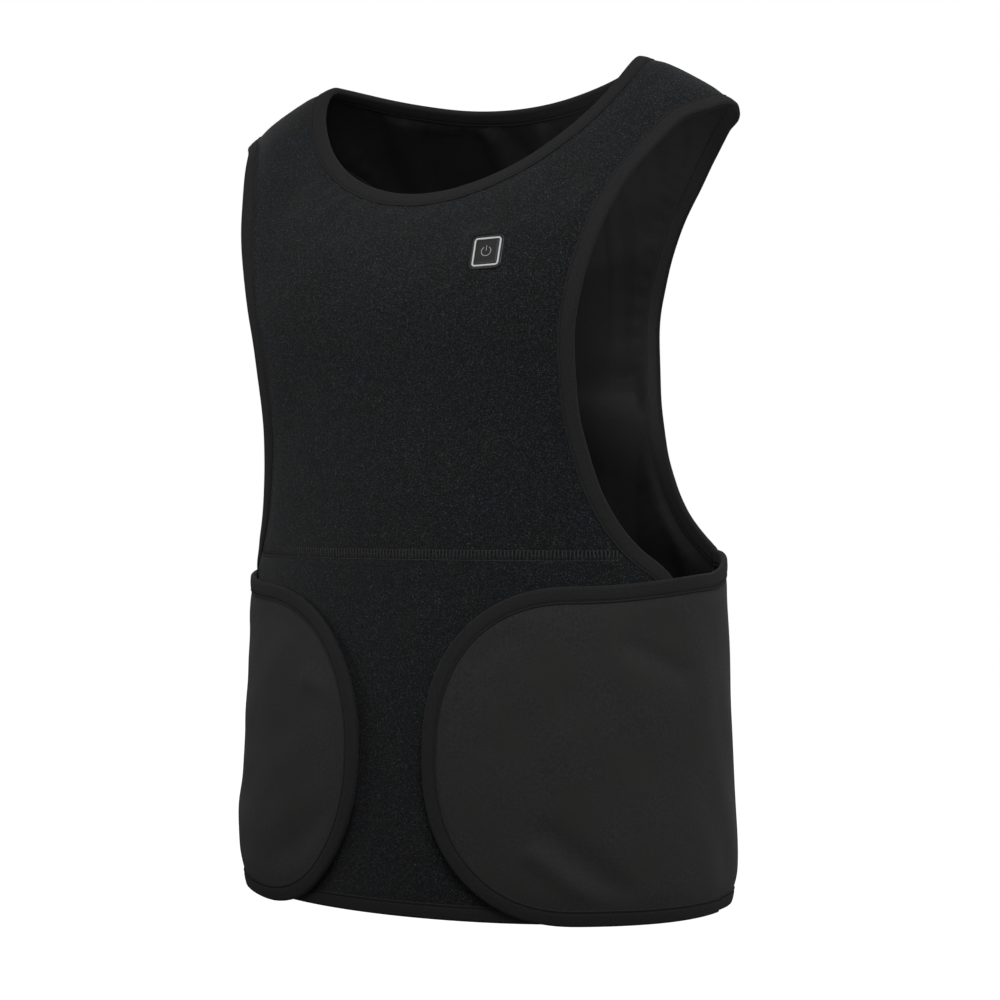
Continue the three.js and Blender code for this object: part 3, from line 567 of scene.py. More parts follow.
# %% [markdown]
# Each panel is two or four grids of points, because a grid with four sides divides evenly. They are
# welded where they meet, by rounding each point to a thousandth of a millimetre and keeping one of
# each, and the wall is added wherever a face has no neighbour.

# %% Grids of cloth, welded into a closed sheet
WELD = 1000  # steps in a millimetre


def grid_of(place, spots, relief_out, relief_in):
    """Outer and inner points of a grid of spots, and the directions outward."""
    u, v = spots[..., 0], spots[..., 1]
    points = place(u, v)
    normals = outward(place, u, v)
    outer = points + normals * relief_out(points)[..., None]
    inner = points + normals * relief_in(points)[..., None]
    return outer, inner, normals


def mirrored_grid(grid):
    return tuple(mirror(part) for part in grid)


def sheet_of(grids):
    """Welds grids where they meet and closes them. Gives points, faces and each face's zone."""
    outer = np.concatenate([grid[0].reshape(-1, 3) for grid in grids])
    inner = np.concatenate([grid[1].reshape(-1, 3) for grid in grids])
    normals = np.concatenate([grid[2].reshape(-1, 3) for grid in grids])
    quads = []
    start = 0
    for grid in grids:
        rows, columns = grid[0].shape[:2]
        index = start + np.arange(rows * columns).reshape(rows, columns)
        cells = [index[:-1, :-1], index[:-1, 1:], index[1:, 1:], index[1:, :-1]]
        quads.append(np.stack(cells, axis=-1).reshape(-1, 4))
        start += rows * columns
    quads = np.concatenate(quads)
    rounded = np.round(outer * WELD).astype(np.int64)
    _, first, same = np.unique(rounded, axis=0, return_index=True, return_inverse=True)
    outer, inner, normals = outer[first], inner[first], normals[first]
    quads = same.ravel()[quads]
    sides = outer[quads]
    facing = np.cross(sides[:, 2] - sides[:, 0], sides[:, 3] - sides[:, 1])
    turned = (facing * normals[quads].sum(axis=1)).sum(axis=1) < 0
    quads[turned] = quads[turned][:, ::-1]
    count = len(outer)
    starts = quads.ravel()
    ends = np.roll(quads, -1, axis=1).ravel()
    lonely = ~np.isin(starts * count + ends, ends * count + starts)
    a, b = starts[lonely], ends[lonely]
    wall = np.stack([b, a, a + count, b + count], axis=-1)
    faces = np.concatenate([quads, quads[:, ::-1] + count, wall])
    zones = np.repeat([0, 1, 0], [len(quads), len(quads), len(wall)])
    return np.concatenate([outer, inner]), faces, zones


print("grids are welded to", 1 / WELD, "mm")

# %% [markdown]
# ## Colours and fabrics
# All the fabrics are black or charcoal polyester. What tells them apart is how they were made: the
# front is a brushed knit of mixed dark fibres, the wings a smooth bonded softshell, the inside a
# thin slick lining and the edges a ribbed knitted tape. Colours are sRGB values as a colour card
# gives them, and one function turns them into the linear values that the shader needs.

# %% Material helpers
def linear(code):
    """An sRGB colour such as 1f2225 as a linear colour with alpha."""
    channels = [int(code[i:i + 2], 16) / 255 for i in (0, 2, 4)]
    return [c / 12.92 if c <= 0.04045 else ((c + 0.055) / 1.055) ** 2.4 for c in channels] + [1.0]


def add_node(tree, kind, inputs=None, **settings):
    """Adds a node. An input is a value, or a socket that is linked to it."""
    node = tree.nodes.new("ShaderNode" + kind)
    for key, value in settings.items():
        setattr(node, key, value)
    for key, value in (inputs or {}).items():
        if isinstance(value, bpy.types.NodeSocket):
            tree.links.new(value, node.inputs[key])
        else:
            node.inputs[key].default_value = value
    return node


def new_material(name):
    """An empty node material: its tree, and a place vector in millimetres on the cloth."""
    material = bpy.data.materials.new(name)
    material.use_nodes = True
    tree = material.node_tree
    tree.nodes.clear()
    place = add_node(tree, "TexCoord").outputs["Object"]
    scaled = add_node(tree, "VectorMath", {0: place, "Scale": MM_IN_METRE}, operation="SCALE")
    return material, tree, scaled.outputs[0]


def finish_material(tree, color, roughness, height=None, relief=0.3, **uniform):
    """Ends a tree in one shader. relief is the height of the bump in millimetres."""
    shader = add_node(tree, "BsdfPrincipled", {"Base Color": color, "Roughness": roughness})
    for name, value in uniform.items():
        shader.inputs[name.replace("_", " ").title().replace("Ior", "IOR")].default_value = value
    if height is not None:
        bump = add_node(tree, "Bump", {"Height": height, "Distance": relief / MM_IN_METRE, "Strength": 1.0})
        tree.links.new(bump.outputs[0], shader.inputs["Normal"])
    add_node(tree, "OutputMaterial", {0: shader.outputs[0]})


# sockets of a colour mix
SHARE, LOW, HIGH, MIXED = 0, 6, 7, 2
print("charcoal 1c2023 in linear light:", [round(c, 4) for c in linear("1c2023")[:3]])

# %% [markdown]
# ### Brushed heather knit
# Polyester jersey, brushed on its face until the loops disappear under a nap of short fibres. The
# yarn is spun from black, charcoal, blue-grey and a few pale fibres, so up close it is speckled at
# the size of a fibre end, about 1 mm, with cloudy patches where the mix varies. An image of cloth
# would show its repeat, so noise of several sizes picks the fibres.

# %% Brushed knit
FIBRES = 0.95  # dark and light fibre ends in a millimetre
FLECKS = 1.3  # pale flecks in a millimetre
CLOUDS = 0.035  # one cloud of colour in 29 mm


def brushed_knit():
    """Matt and a little hazy, because light gets lost between the standing fibres."""
    material, tree, place = new_material("brushed_heather_knit")
    fibre = add_node(
        tree, "TexNoise", {"Vector": place, "Scale": FIBRES, "Detail": 2.0, "Roughness": 0.8},
    ).outputs[0]
    fleck = add_node(
        tree, "TexNoise", {"Vector": place, "Scale": FLECKS, "Detail": 1.0, "W": 4.0},
        noise_dimensions="4D",
    ).outputs[0]
    cloud = add_node(
        tree, "TexNoise", {"Vector": place, "Scale": CLOUDS, "Detail": 5.0, "Roughness": 0.75},
    ).outputs[0]
    fibre_share = add_node(tree, "MapRange", {"Value": fibre, "From Min": 0.32, "From Max": 0.7}).outputs[0]
    fleck_share = add_node(tree, "MapRange", {"Value": fleck, "From Min": 0.56, "From Max": 0.85}).outputs[0]
    cloud_share = add_node(tree, "MapRange", {"Value": cloud, "From Min": 0.42, "From Max": 0.6}).outputs[0]
    dark = add_node(
        tree, "Mix", {SHARE: fibre_share, LOW: linear("09090a"), HIGH: linear("232424")}, data_type="RGBA",
    ).outputs[MIXED]
    specks = add_node(
        tree, "Mix", {SHARE: fleck_share, LOW: dark, HIGH: linear("54585b")}, data_type="RGBA",
    ).outputs[MIXED]
    cool = add_node(
        tree, "Mix", {SHARE: 1.0, LOW: specks, HIGH: (0.93, 0.98, 1.12, 1)},
        data_type="RGBA", blend_type="MULTIPLY",
    ).outputs[MIXED]
    color = add_node(
        tree, "Mix", {SHARE: cloud_share, LOW: specks, HIGH: cool}, data_type="RGBA",
    ).outputs[MIXED]
    nap = add_node(tree, "Math", {0: fibre, 1: fleck}, operation="ADD").outputs[0]
    finish_material(
        tree, color, 0.95, nap, 0.35,
        sheen_weight=0.12, sheen_roughness=0.5, specular_ior_level=0.1, ior=1.5,
    )
    return material


KNIT = brushed_knit()
print("made", KNIT.name)

# %% [markdown]
# ### Bonded softshell
# The wings are a smooth polyester face bonded to a fleece, in a warm charcoal. Its weave is finer
# than a pixel of the photograph, so only a faint grain and a slow change of tone show.

# %% Softshell
GRAIN = 0.5  # grains in a millimetre, drawn coarser than the weave so that they show
TONES = 0.03  # one change of tone in 33 mm


def softshell():
    """Smooth and matt, with a trace of haze from its peached face."""
    material, tree, place = new_material("bonded_softshell")
    grain = add_node(
        tree, "TexNoise", {"Vector": place, "Scale": GRAIN, "Detail": 4.0, "Roughness": 0.75},
    ).outputs[0]
    tone = add_node(
        tree, "TexNoise", {"Vector": place, "Scale": TONES, "Detail": 2.0, "Roughness": 0.5},
    ).outputs[0]
    grain_share = add_node(tree, "MapRange", {"Value": grain, "From Min": 0.3, "From Max": 0.7}).outputs[0]
    tone_share = add_node(tree, "MapRange", {"Value": tone, "From Min": 0.35, "From Max": 0.7}).outputs[0]
    face = add_node(
        tree, "Mix", {SHARE: grain_share, LOW: linear("242424"), HIGH: linear("363636")}, data_type="RGBA",
    ).outputs[MIXED]
    color = add_node(
        tree, "Mix", {SHARE: tone_share, LOW: face, HIGH: linear("2e2e2d")}, data_type="RGBA",
    ).outputs[MIXED]
    finish_material(
        tree, color, 0.8, grain, 0.2,
        sheen_weight=0.08, sheen_roughness=0.5, specular_ior_level=0.2, ior=1.5,
    )
    return material


SOFTSHELL = softshell()
print("made", SOFTSHELL.name)

# %% [markdown]
# ### Lining, tape, thread and hook tape
# The lining is a thin black knit with a faint shine. The binding is a knitted tape whose ribs run
# along it, 0.8 mm apart, so it is the one fabric that follows the piece's own direction and needs a
# flat map. The thread is dark grey and a little glossier than the cloth.

# %% Lining and tape
LOOPS = 1.3  # loops of the lining in a millimetre
RIBS = 200.0  # scale that draws the tape's ribs 0.8 mm apart on its flat map, which is in metres


def lining_cloth():
    """Thin and slick: the least rough of the fabrics."""
    material, tree, place = new_material("tricot_lining")
    grain = add_node(
        tree, "TexNoise", {"Vector": place, "Scale": LOOPS, "Detail": 2.0, "Roughness": 0.6},
    ).outputs[0]
    share = add_node(tree, "MapRange", {"Value": grain, "From Min": 0.3, "From Max": 0.7}).outputs[0]
    color = add_node(
        tree, "Mix", {SHARE: share, LOW: linear("151515"), HIGH: linear("202020")}, data_type="RGBA",
    ).outputs[MIXED]
    finish_material(tree, color, 0.7, grain, 0.1, specular_ior_level=0.2, ior=1.5)
    return material


def knitted_tape():
    """Ribs that run along the tape and give its roll a fine, soft line of light."""
    material, tree, place = new_material("knitted_binding_tape")
    flat = add_node(tree, "TexCoord").outputs["UV"]
    rib = add_node(
        tree, "TexWave", {"Vector": flat, "Scale": RIBS, "Distortion": 0.4}, bands_direction="Y",
    ).outputs["Fac"]
    grain = add_node(
        tree, "TexNoise", {"Vector": place, "Scale": 1.2, "Detail": 2.0, "Roughness": 0.7},
    ).outputs[0]
    share = add_node(tree, "MapRange", {"Value": grain, "From Min": 0.3, "From Max": 0.7}).outputs[0]
    color = add_node(
        tree, "Mix", {SHARE: share, LOW: linear("1f1f1f"), HIGH: linear("2c2c2c")}, data_type="RGBA",
    ).outputs[MIXED]
    mixed = add_node(tree, "Math", {0: rib, 1: grain}, operation="ADD").outputs[0]
    finish_material(
        tree, color, 0.88, mixed, 0.07,
        sheen_weight=0.05, sheen_roughness=0.5, specular_ior_level=0.15, ior=1.5,
    )
    return material


LINING = lining_cloth()
BINDING = knitted_tape()
print("made", LINING.name, "and", BINDING.name)

# %% [markdown]
# The thread is spun polyester. Hook tape is moulded nylon: rows of tiny hooks, about 1.4 mm apart,
# that read as a dark pitted plate at this distance, so a cell pattern draws them as pits. The same
# pattern darkens the nylon's colour in the pits, as painted shade.

# %% Thread and hook tape
TWIST = 3.0  # turns of the thread in a millimetre
HOOK_RATE = 0.7  # hooks in a millimetre


def sewing_thread(name, dark, light):
    material, tree, place = new_material(name)
    twist = add_node(tree, "TexNoise", {"Vector": place, "Scale": TWIST, "Detail": 1.0}).outputs[0]
    color = add_node(
        tree, "Mix", {SHARE: twist, LOW: linear(dark), HIGH: linear(light)}, data_type="RGBA",
    ).outputs[MIXED]
    finish_material(tree, color, 0.65, specular_ior_level=0.25, ior=1.5)
    return material


def hook_tape():
    material, tree, place = new_material("moulded_hook_tape")
    hooks = add_node(tree, "TexVoronoi", {"Vector": place, "Scale": HOOK_RATE}).outputs["Distance"]
    color = add_node(
        # The colour goes from the nylon's dark grey on the hooks to near black in the pits between them:
        # painted shade in the pits.
        tree, "Mix", {SHARE: hooks, LOW: linear("1c1c1d"), HIGH: linear("0c0c0d")}, data_type="RGBA",
    ).outputs[MIXED]
    finish_material(tree, color, 0.7, hooks, -0.4, ior=1.5)
    return material


STITCH = sewing_thread("binding_thread", "0b0b0c", "141516")
LADDER = sewing_thread("flatlock_thread", "2b2b2a", "3d3d3b")
HOOKS = hook_tape()
print("made", [material.name for material in (STITCH, LADDER, HOOKS)])

# %% [markdown]
# ### Plastics of the power button
# The housing and key are satin black ABS with a fine spark-eroded grain. The frame between them is a
# milky white plastic that guides the light of the lamp under it.

# %% Plastics
SPARK_GRAIN = 3.5  # pits of the spark-eroded mould in a millimetre
ABS_IOR = 1.53
PLASTIC_IOR = 1.5


def moulded(name, dark, light, roughness, ior):
    """A satin skin: fine pits from the mould break up the highlight along each edge."""
    material, tree, place = new_material(name)
    grain = add_node(
        tree, "TexNoise", {"Vector": place, "Scale": SPARK_GRAIN, "Detail": 2.0, "Roughness": 0.6},
    ).outputs[0]
    color = add_node(
        tree, "Mix", {SHARE: grain, LOW: linear(dark), HIGH: linear(light)}, data_type="RGBA",
    ).outputs[MIXED]
    finish_material(tree, color, roughness, grain, 0.02, ior=ior)
    return material


BLACK_PLASTIC = moulded("satin_black_abs", "1d1d1c", "242423", 0.42, ABS_IOR)
WHITE_PLASTIC = moulded("milky_white_plastic", "cfd0d3", "d9dadc", 0.35, PLASTIC_IOR)
MARK = moulded("grey_pad_print", "a7a9ac", "b2b4b6", 0.5, PLASTIC_IOR)
print("made", [material.name for material in (BLACK_PLASTIC, WHITE_PLASTIC, MARK)])

# %% [markdown]
# ## Front panels
# The upper front runs from the seam over the chest to the ridge of the shoulders. Half of it is a
# four-sided patch: the seam below, the armhole outside, the shoulder on top, and the middle line and
# the neckline together inside. The other half is its mirror image, welded on.

# %% Patches of the upper panels
# Sides of the mesh cells on each piece, in mm.
CHEST_CELL = 3.0
WAIST_CELL = 3.6
BLADE_CELL = 3.6
BAND_CELL = 4.0
WING_CELL = 3.2
TURN_STEPS = 200
TURN_MOST = 0.7  # share of the armhole that may lie beside the middle line
TURN_LEVEL = 1.05  # that corner of the patch lies a little lower than the neckline's foot


def upper_spots(place, face_neck, arm, corner, foot, cell):
    """Spots of half an upper panel, from the middle to the armhole."""
    def foot_line(share):
        return np.stack([share * corner, fall_at(share * corner, foot)], axis=-1)

    neck = neck_line(face_neck)
    lowest = LENGTH - face_neck["drop"]
    arm_length = length_of(place, arm)
    edge = spread(place, arm, np.linspace(0, 1, TURN_STEPS))
    turn = min(TURN_MOST, np.argmax(edge[:, 1] < TURN_LEVEL * fall_at(0, lowest)) / (TURN_STEPS - 1))
    low_count = int(turn * arm_length / cell)
    high_count = int((1 - turn) * arm_length / cell)
    shares = np.concatenate([np.linspace(0, turn, low_count + 1), np.linspace(turn, 1, high_count + 1)[1:]])
    heights = np.linspace(foot, lowest, low_count + 1)
    middle = np.stack([np.zeros(low_count + 1), fall_at(0, heights)], axis=-1)
    left = np.vstack([middle, spread(place, neck, np.linspace(0, 1, high_count + 1))[1:]])
    right = spread(place, arm, shares)
    columns = int(corner / cell)
    across = np.linspace(0, 1, columns + 1)
    bottom = spread(place, foot_line, across)
    top = np.stack([NECK_HALF + (SHOULDER_HALF - NECK_HALF) * across, np.zeros(columns + 1)], axis=-1)
    return fill(bottom, top, left, right)


def level_relief(relief, offset):
    """The same relief, moved outward by an offset."""
    return lambda points: relief(points) + offset


chest_spots = upper_spots(CHEST, FRONT_NECK, front_arm, front_corner, SEAM_HEIGHT, CHEST_CELL)
chest_half = grid_of(CHEST, chest_spots, cloth_relief, level_relief(cloth_relief, -FRONT_WALL))
print("half a chest panel:", chest_half[0].shape)

# %% [markdown]
# The button sits in a window of the wearer's left chest. Its seat is a small flat frame: a middle
# point, and directions to the right, up and out, square to the cloth there and turned by a few
# degrees as on the real vest. Everything on the button is placed by that frame.

# %% Button's seat on the chest
BUTTON_DROP = 148  # neck point down to its middle
BUTTON_ACROSS = 70
BUTTON_TURN = math.radians(3.5)
BUTTON_WIDE = 24.5
BUTTON_TALL = 26.2
BUTTON_CORNER = 4.2
CORNER_STEPS = 8


def seat_frame():
    """The seat's middle, and its directions to the right, up and out."""
    x = np.array([float(BUTTON_ACROSS)])
    fall = fall_at(x, LENGTH - BUTTON_DROP)
    normal = outward(CHEST, x, fall)[0]
    level = unit(np.array([1.0, 0, 0]) - normal * normal[0])
    right = level * math.cos(BUTTON_TURN) + np.cross(normal, level) * math.sin(BUTTON_TURN)
    return CHEST(x, fall)[0], right, np.cross(normal, right), normal


SEAT, SEAT_RIGHT, SEAT_UP, SEAT_OUT = seat_frame()


def rounded_rectangle(wide, tall, corner):
    """Points of a rectangle with rounded corners, in the seat's own plane."""
    angles = np.concatenate([np.linspace(q, q + 90, CORNER_STEPS + 1) for q in (0, 90, 180, 270)])
    centres = np.repeat([[1, 1], [-1, 1], [-1, -1], [1, -1]], CORNER_STEPS + 1, axis=0)
    centres = centres * [wide / 2 - corner, tall / 2 - corner]
    turns = np.radians(angles)
    return centres + corner * np.stack([np.cos(turns), np.sin(turns)], axis=-1)


def on_seat(flat, height):
    flat = np.asarray(flat)
    return SEAT + flat[:, :1] * SEAT_RIGHT + flat[:, 1:] * SEAT_UP + height * SEAT_OUT


def stack_of(loops, cap_first=True, cap_last=True):
    """Points and faces of loops of equal count, joined one to the next."""
    count = len(loops[0])
    faces = []
    for low in range(0, (len(loops) - 1) * count, count):
        high = low + count
        for i in range(count):
            j = (i + 1) % count
            faces.append([low + i, low + j, high + j, high + i])
    if cap_first:
        faces.append(list(range(count))[::-1])
    if cap_last:
        faces.append([(len(loops) - 1) * count + i for i in range(count)])
    return np.concatenate(loops), faces


print("button seat, mm:", SEAT.round(1), "facing", SEAT_OUT.round(2))

# %% [markdown]
# The window is cut with a Boolean step, because its rounded corners don't follow the panel's grid.
# The step is applied at once, so that what is left is a plain mesh.

# %% Cutting the window
WINDOW_CLEAR = 0.05  # the knit grips the housing
CUT_DEPTH = 12


def cut_window(panel):
    """Cuts the window that the button's housing fills."""
    by = 2 * WINDOW_CLEAR
    outline = rounded_rectangle(BUTTON_WIDE + by, BUTTON_TALL + by, BUTTON_CORNER + WINDOW_CLEAR)
    points, faces = stack_of([on_seat(outline, -CUT_DEPTH), on_seat(outline, CUT_DEPTH)])
    mesh = bpy.data.meshes.new("window_cutter")
    mesh.from_pydata(to_frame(points).tolist(), [], faces)
    cutter = bpy.data.objects.new("window_cutter", mesh)
    bpy.context.collection.objects.link(cutter)
    step = panel.modifiers.new("window", "BOOLEAN")
    step.operation = "DIFFERENCE"
    step.solver = "EXACT"
    step.object = cutter
    bpy.context.view_layer.update()
    shape = panel.evaluated_get(bpy.context.evaluated_depsgraph_get())
    done = bpy.data.meshes.new_from_object(shape)
    panel.modifiers.clear()
    panel.data = done
    bpy.data.objects.remove(cutter)
    print("cut the window, leaving", len(done.polygons), "faces")


print(f"the window clears the housing by {WINDOW_CLEAR} mm all round")

# %% [markdown]
# The knit is thick and soft, and the housing pushes into it. It stands up round the housing, most
# above it and toward the middle of the chest, and that rim throws the small shadow on the button.

# %% Chest panel
SEAT_SWELL = 0.9
SEAT_LEAN = 1.1  # how much higher the rim is above and toward the middle
SEAT_SPREAD = 7
SHARP = 50  # degrees between two faces from which their edge is drawn sharp


def seat_relief(points):
    """The knit swells round the housing, most above it and beside its inner edge."""
    spot = points - SEAT
    x, y = spot @ SEAT_RIGHT, spot @ SEAT_UP
    outside = np.maximum(np.maximum(np.abs(x) - BUTTON_WIDE / 2, np.abs(y) - BUTTON_TALL / 2), 0)
    toward = (y - x) / (np.abs(x) + np.abs(y) + 1)
    return (SEAT_SWELL + SEAT_LEAN * toward) * bell(outside, SEAT_SPREAD)


def chest_relief(points):
    return cloth_relief(points) + np.where(points[..., 0] > 0, seat_relief(points), 0)


chest_left = grid_of(CHEST, chest_spots, chest_relief, level_relief(cloth_relief, -FRONT_WALL))
chest_right = mirrored_grid(chest_half)
points, faces, zones = sheet_of([chest_left, chest_right])
chest = make_piece("chest_knit", points, faces, (KNIT, LINING), zones)
cut_window(chest)
chest.data.set_sharp_from_angle(angle=math.radians(SHARP))
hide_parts("front_upper_panel")

# %% [markdown]
# The lower front is one straight piece under the seam. Its side edges run up under the wings, where
# they can't be seen, and turn in to meet the armholes.

# %% Waist panel
def side_line(share):
    height = np.asarray(share) * SEAM_HEIGHT
    turned = np.maximum((height / SEAM_HEIGHT - SIDE_TURN) / (1 - SIDE_TURN), 0)
    low, high = math.sin(math.radians(SIDE_ANGLE)), math.sin(math.radians(CORNER_ANGLE))
    sine = low + (high - low) * turned**3
    return np.stack([np.degrees(np.arcsin(sine)), height], axis=-1)


def waist_spots():
    rows, columns = int(SEAM_HEIGHT / WAIST_CELL), int(HEM_HALF / WAIST_CELL)
    right = spread(round_body, side_line, np.linspace(0, 1, rows + 1))
    left = np.stack([np.zeros(rows + 1), right[:, 1]], axis=-1)
    across = np.linspace(0, 1, columns + 1)
    bottom = np.stack([across * right[0, 0], np.zeros(columns + 1)], axis=-1)
    chest_foot = chest_spots[0, :, 0]
    x = np.interp(across, np.linspace(0, 1, len(chest_foot)), chest_foot)
    angle = np.degrees(np.arcsin(x / half_width(FRONT, SEAM_HEIGHT)))
    over = np.stack([angle, np.full(columns + 1, SEAM_HEIGHT)], axis=-1)
    over[-1] = right[-1]
    return fill(bottom, over, left, right)


waist_half = grid_of(round_body, waist_spots(), cloth_relief, level_relief(cloth_relief, -FRONT_WALL))
points, faces, zones = sheet_of([waist_half, mirrored_grid(waist_half)])
waist = make_piece("waist_knit", points, faces, (KNIT, LINING), zones)
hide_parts("front_lower_panel")

# %% [markdown]
# ## Back panel and lining
# The back is cut in one piece from the shoulders to the hem, knit outside and lining inside. The
# lining is a sheet of its own, because it is what shows through the neck and the armholes, and it
# hangs in folds that the outside doesn't have.

# %% Back panel
blade_spots = upper_spots(SHOULDER_BLADES, BACK_NECK, back_arm, back_corner, BAND_HEIGHT, BLADE_CELL)


def back_band_spots():
    foot = blade_spots[0, :, 0]
    angles = 180 - np.degrees(np.arcsin(np.clip(foot / half_width(BACK, BAND_HEIGHT), -1, 1)))
    heights = np.linspace(0, BAND_HEIGHT, int(BAND_HEIGHT / BAND_CELL) + 1)
    return np.stack(np.meshgrid(angles, heights), axis=-1)


def back_grids(relief_out, relief_in):
    """Four grids of the back. The lower ones end in the very points that the upper ones start with."""
    upper = grid_of(SHOULDER_BLADES, blade_spots, relief_out, relief_in)
    lower = grid_of(round_body, back_band_spots(), relief_out, relief_in)
    for above, below in zip(upper, lower):
        below[-1] = above[0]
    return [upper, lower, mirrored_grid(upper), mirrored_grid(lower)]


points, faces, zones = sheet_of(back_grids(cloth_relief, level_relief(cloth_relief, -BACK_WALL)))
back = make_piece("back_knit", points, faces, (KNIT, LINING), zones)
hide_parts("back_panel")

# %% [markdown]
# The lining is a second sheet on the same grids. Its outer face stays close to the back, and its
# inner face stands in by the folds, so that it never comes out through the knit.

# %% Lining of the back
def lining_face(points):
    """The inner face: under the knit's hollows and folded toward the wearer."""
    return np.minimum(cloth_relief(points), 0) + lining_relief(points) - BACK_STACK


points, faces, _ = sheet_of(back_grids(level_relief(cloth_relief, -LINING_FACE), lining_face))
back_lining = make_piece("back_lining_cloth", points, faces, (LINING,))
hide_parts("back_lining")

# %% [markdown]
# ## Wings
# Each wing starts at the side seam, wraps forward and ends in a rounded tip that is pressed onto the
# front. It lies over the front panel's edge and both bindings. A place on it is the arc from the
# middle of the front and the height.

# %% Wings' surface
WINGS = [
    dict(name="left", side=1, tip=23.5, drop=0, lift=1.5),
    dict(name="right", side=-1, tip=31.5, drop=5, lift=5.5),
]
TIP_LENGTH = 111
TIP_POWER = 2.25  # 2 would be a plain ellipse
STRAIGHT_SHARE = 0.5  # part of the way along the edge's formula that goes to its straight stretch
LIFT_LENGTH = 60  # how far back from its tip a wing stands off the front
SPINE_SHARE = 0.55  # where the wing's middle line ends, as a share of the tip's length
ARC_STEP = 0.5  # degrees
ARC_BEYOND = 6  # degrees of the table past the side seam


def wing_surface(angle, height):
    points = round_body(angle, height)
    normals = outward(round_body, angle, height)
    stand = np.where(angle <= 90, WING_STAND, 0)[..., None]
    return points + normals * stand


arc_angles = np.arange(0, SEAM_ANGLE + ARC_BEYOND, ARC_STEP)
arc_points = wing_surface(arc_angles, np.full_like(arc_angles, WING_HEIGHT / 2))
arc_table = np.concatenate([[0], np.cumsum(np.linalg.norm(np.diff(arc_points, axis=0), axis=1))])
SEAM_ARC = arc_table[int(SEAM_ANGLE / ARC_STEP)]
SIDE_ARC = arc_table[int(90 / ARC_STEP)]


def wing_place(wing):
    def place(arc, height):
        sag = wing["drop"] * (1 - smoothstep(arc, wing["tip"], SIDE_ARC))
        return wing_surface(np.interp(arc, arc_table, arc_angles), height - sag)
    return place


def top_edge(arc, centre):
    rise = WING_RISE * smoothstep(arc, centre, SIDE_ARC)
    corner = (BAND_HEIGHT - WING_HEIGHT - WING_RISE) * smoothstep(arc, SIDE_ARC, SEAM_ARC)
    return WING_HEIGHT + rise + corner


def wing_edge(wing, upper):
    """The edge from the side seam to the tip, over the top or along the hem."""
    centre = wing["tip"] + TIP_LENGTH
    middle = WING_HEIGHT / 2

    def line(share):
        share = np.asarray(share, dtype=float)
        straight = SEAM_ARC + (centre - SEAM_ARC) * np.minimum(share / STRAIGHT_SHARE, 1)
        turn = np.maximum((share - STRAIGHT_SHARE) / (1 - STRAIGHT_SHARE), 0) * math.pi / 2
        arc = straight - TIP_LENGTH * np.sin(turn) ** (2 / TIP_POWER)
        edge = top_edge(straight, centre) if upper else np.zeros_like(straight)
        high = np.maximum(np.cos(turn), 0) ** (2 / TIP_POWER)
        return np.stack([arc, middle + (edge - middle) * high], axis=-1)
    return line


print(f"wings reach {SEAM_ARC:.0f} mm round from the middle of the front")

# %% [markdown]
# ### Folds of the wings
# The wings are thin and only lightly stretched, so the tips show soft dents and a few diagonal
# drags toward the fastening. Each is a short line on the flat wing with a width and a depth.

# %% Dents and drags of the wings
# start and end are (arc from the tip, height). width and depth are in mm, and a negative depth
# stands out.
CREASES = {
    "right": [
        dict(start=(26, 176), end=(58, 196), width=9, depth=1.1),
        dict(start=(20, 158), end=(52, 166), width=8, depth=-0.9),
        dict(start=(70, 205), end=(112, 214), width=8, depth=0.9),
        dict(start=(60, 150), end=(110, 120), width=22, depth=0.7),
        dict(start=(30, 60), end=(80, 34), width=14, depth=0.8),
        dict(start=(120, 40), end=(210, 60), width=20, depth=-0.7),
    ],
    "left": [
        dict(start=(30, 180), end=(64, 200), width=9, depth=0.9),
        dict(start=(90, 60), end=(140, 20), width=10, depth=1.1),
        dict(start=(80, 46), end=(120, 14), width=7, depth=-0.9),
        dict(start=(60, 120), end=(100, 150), width=18, depth=0.6),
        dict(start=(150, 190), end=(190, 170), width=9, depth=0.9),
    ],
}
DENT_GAIN = 2.4  # the folds are drawn deeper than on the flat wing, so that soft light shows them
WING_WAVES = [
    dict(high=0.7, size=120, seed=30),
    dict(high=0.4, size=46, seed=37),
]
WING_PINCH = dict(depth=0.6, spread=5)
WING_CALM = 12  # width of the flat strip beside the binding
SEWN_CALM = 25  # width of the flat strip beside the side seam


def crease_relief(wing, arc, height):
    total = np.zeros_like(arc)
    for crease in CREASES[wing["name"]]:
        start = np.array(crease["start"], dtype=float) + [wing["tip"], 0]
        end = np.array(crease["end"], dtype=float) + [wing["tip"], 0]
        run = end - start
        spot = np.stack([arc, height], axis=-1) - start
        share = np.clip(spot @ run / (run @ run), 0, 1)
        away = np.linalg.norm(spot - share[..., None] * run, axis=-1)
        total -= DENT_GAIN * crease["depth"] * bell(away, crease["width"])
    return total


def wing_relief(wing, rim):
    """A wing's relief as a function of its arc, height and points. rim is its edge as points."""
    def relief(arc, height, points):
        edge, _ = distance_to(points, rim)
        beside = np.maximum(edge - REACH, 0)
        sewn = SEAM_ARC - arc
        free = (1 - bell(beside, WING_CALM)) * smoothstep(sewn, 0, SEWN_CALM)
        soft = swellings(points, WING_WAVES, shift=wing["side"]) + crease_relief(wing, arc, height)
        lift = wing["lift"] * (1 - smoothstep(arc, wing["tip"], wing["tip"] + LIFT_LENGTH))
        pinch = WING_PINCH["depth"] * bell(beside, WING_PINCH["spread"])
        sink = SIDE_SINK["depth"] * bell(sewn, SIDE_SINK["spread"])
        return lift + free * soft - pinch - sink
    return relief


print({name: len(rows) for name, rows in CREASES.items()}, "creases")

# %% [markdown]
# A wing's shell is an upper and a lower grid that meet on its middle line. Each runs from that line
# out to the edge and closes in at the tip, so its cells follow the rounded end.

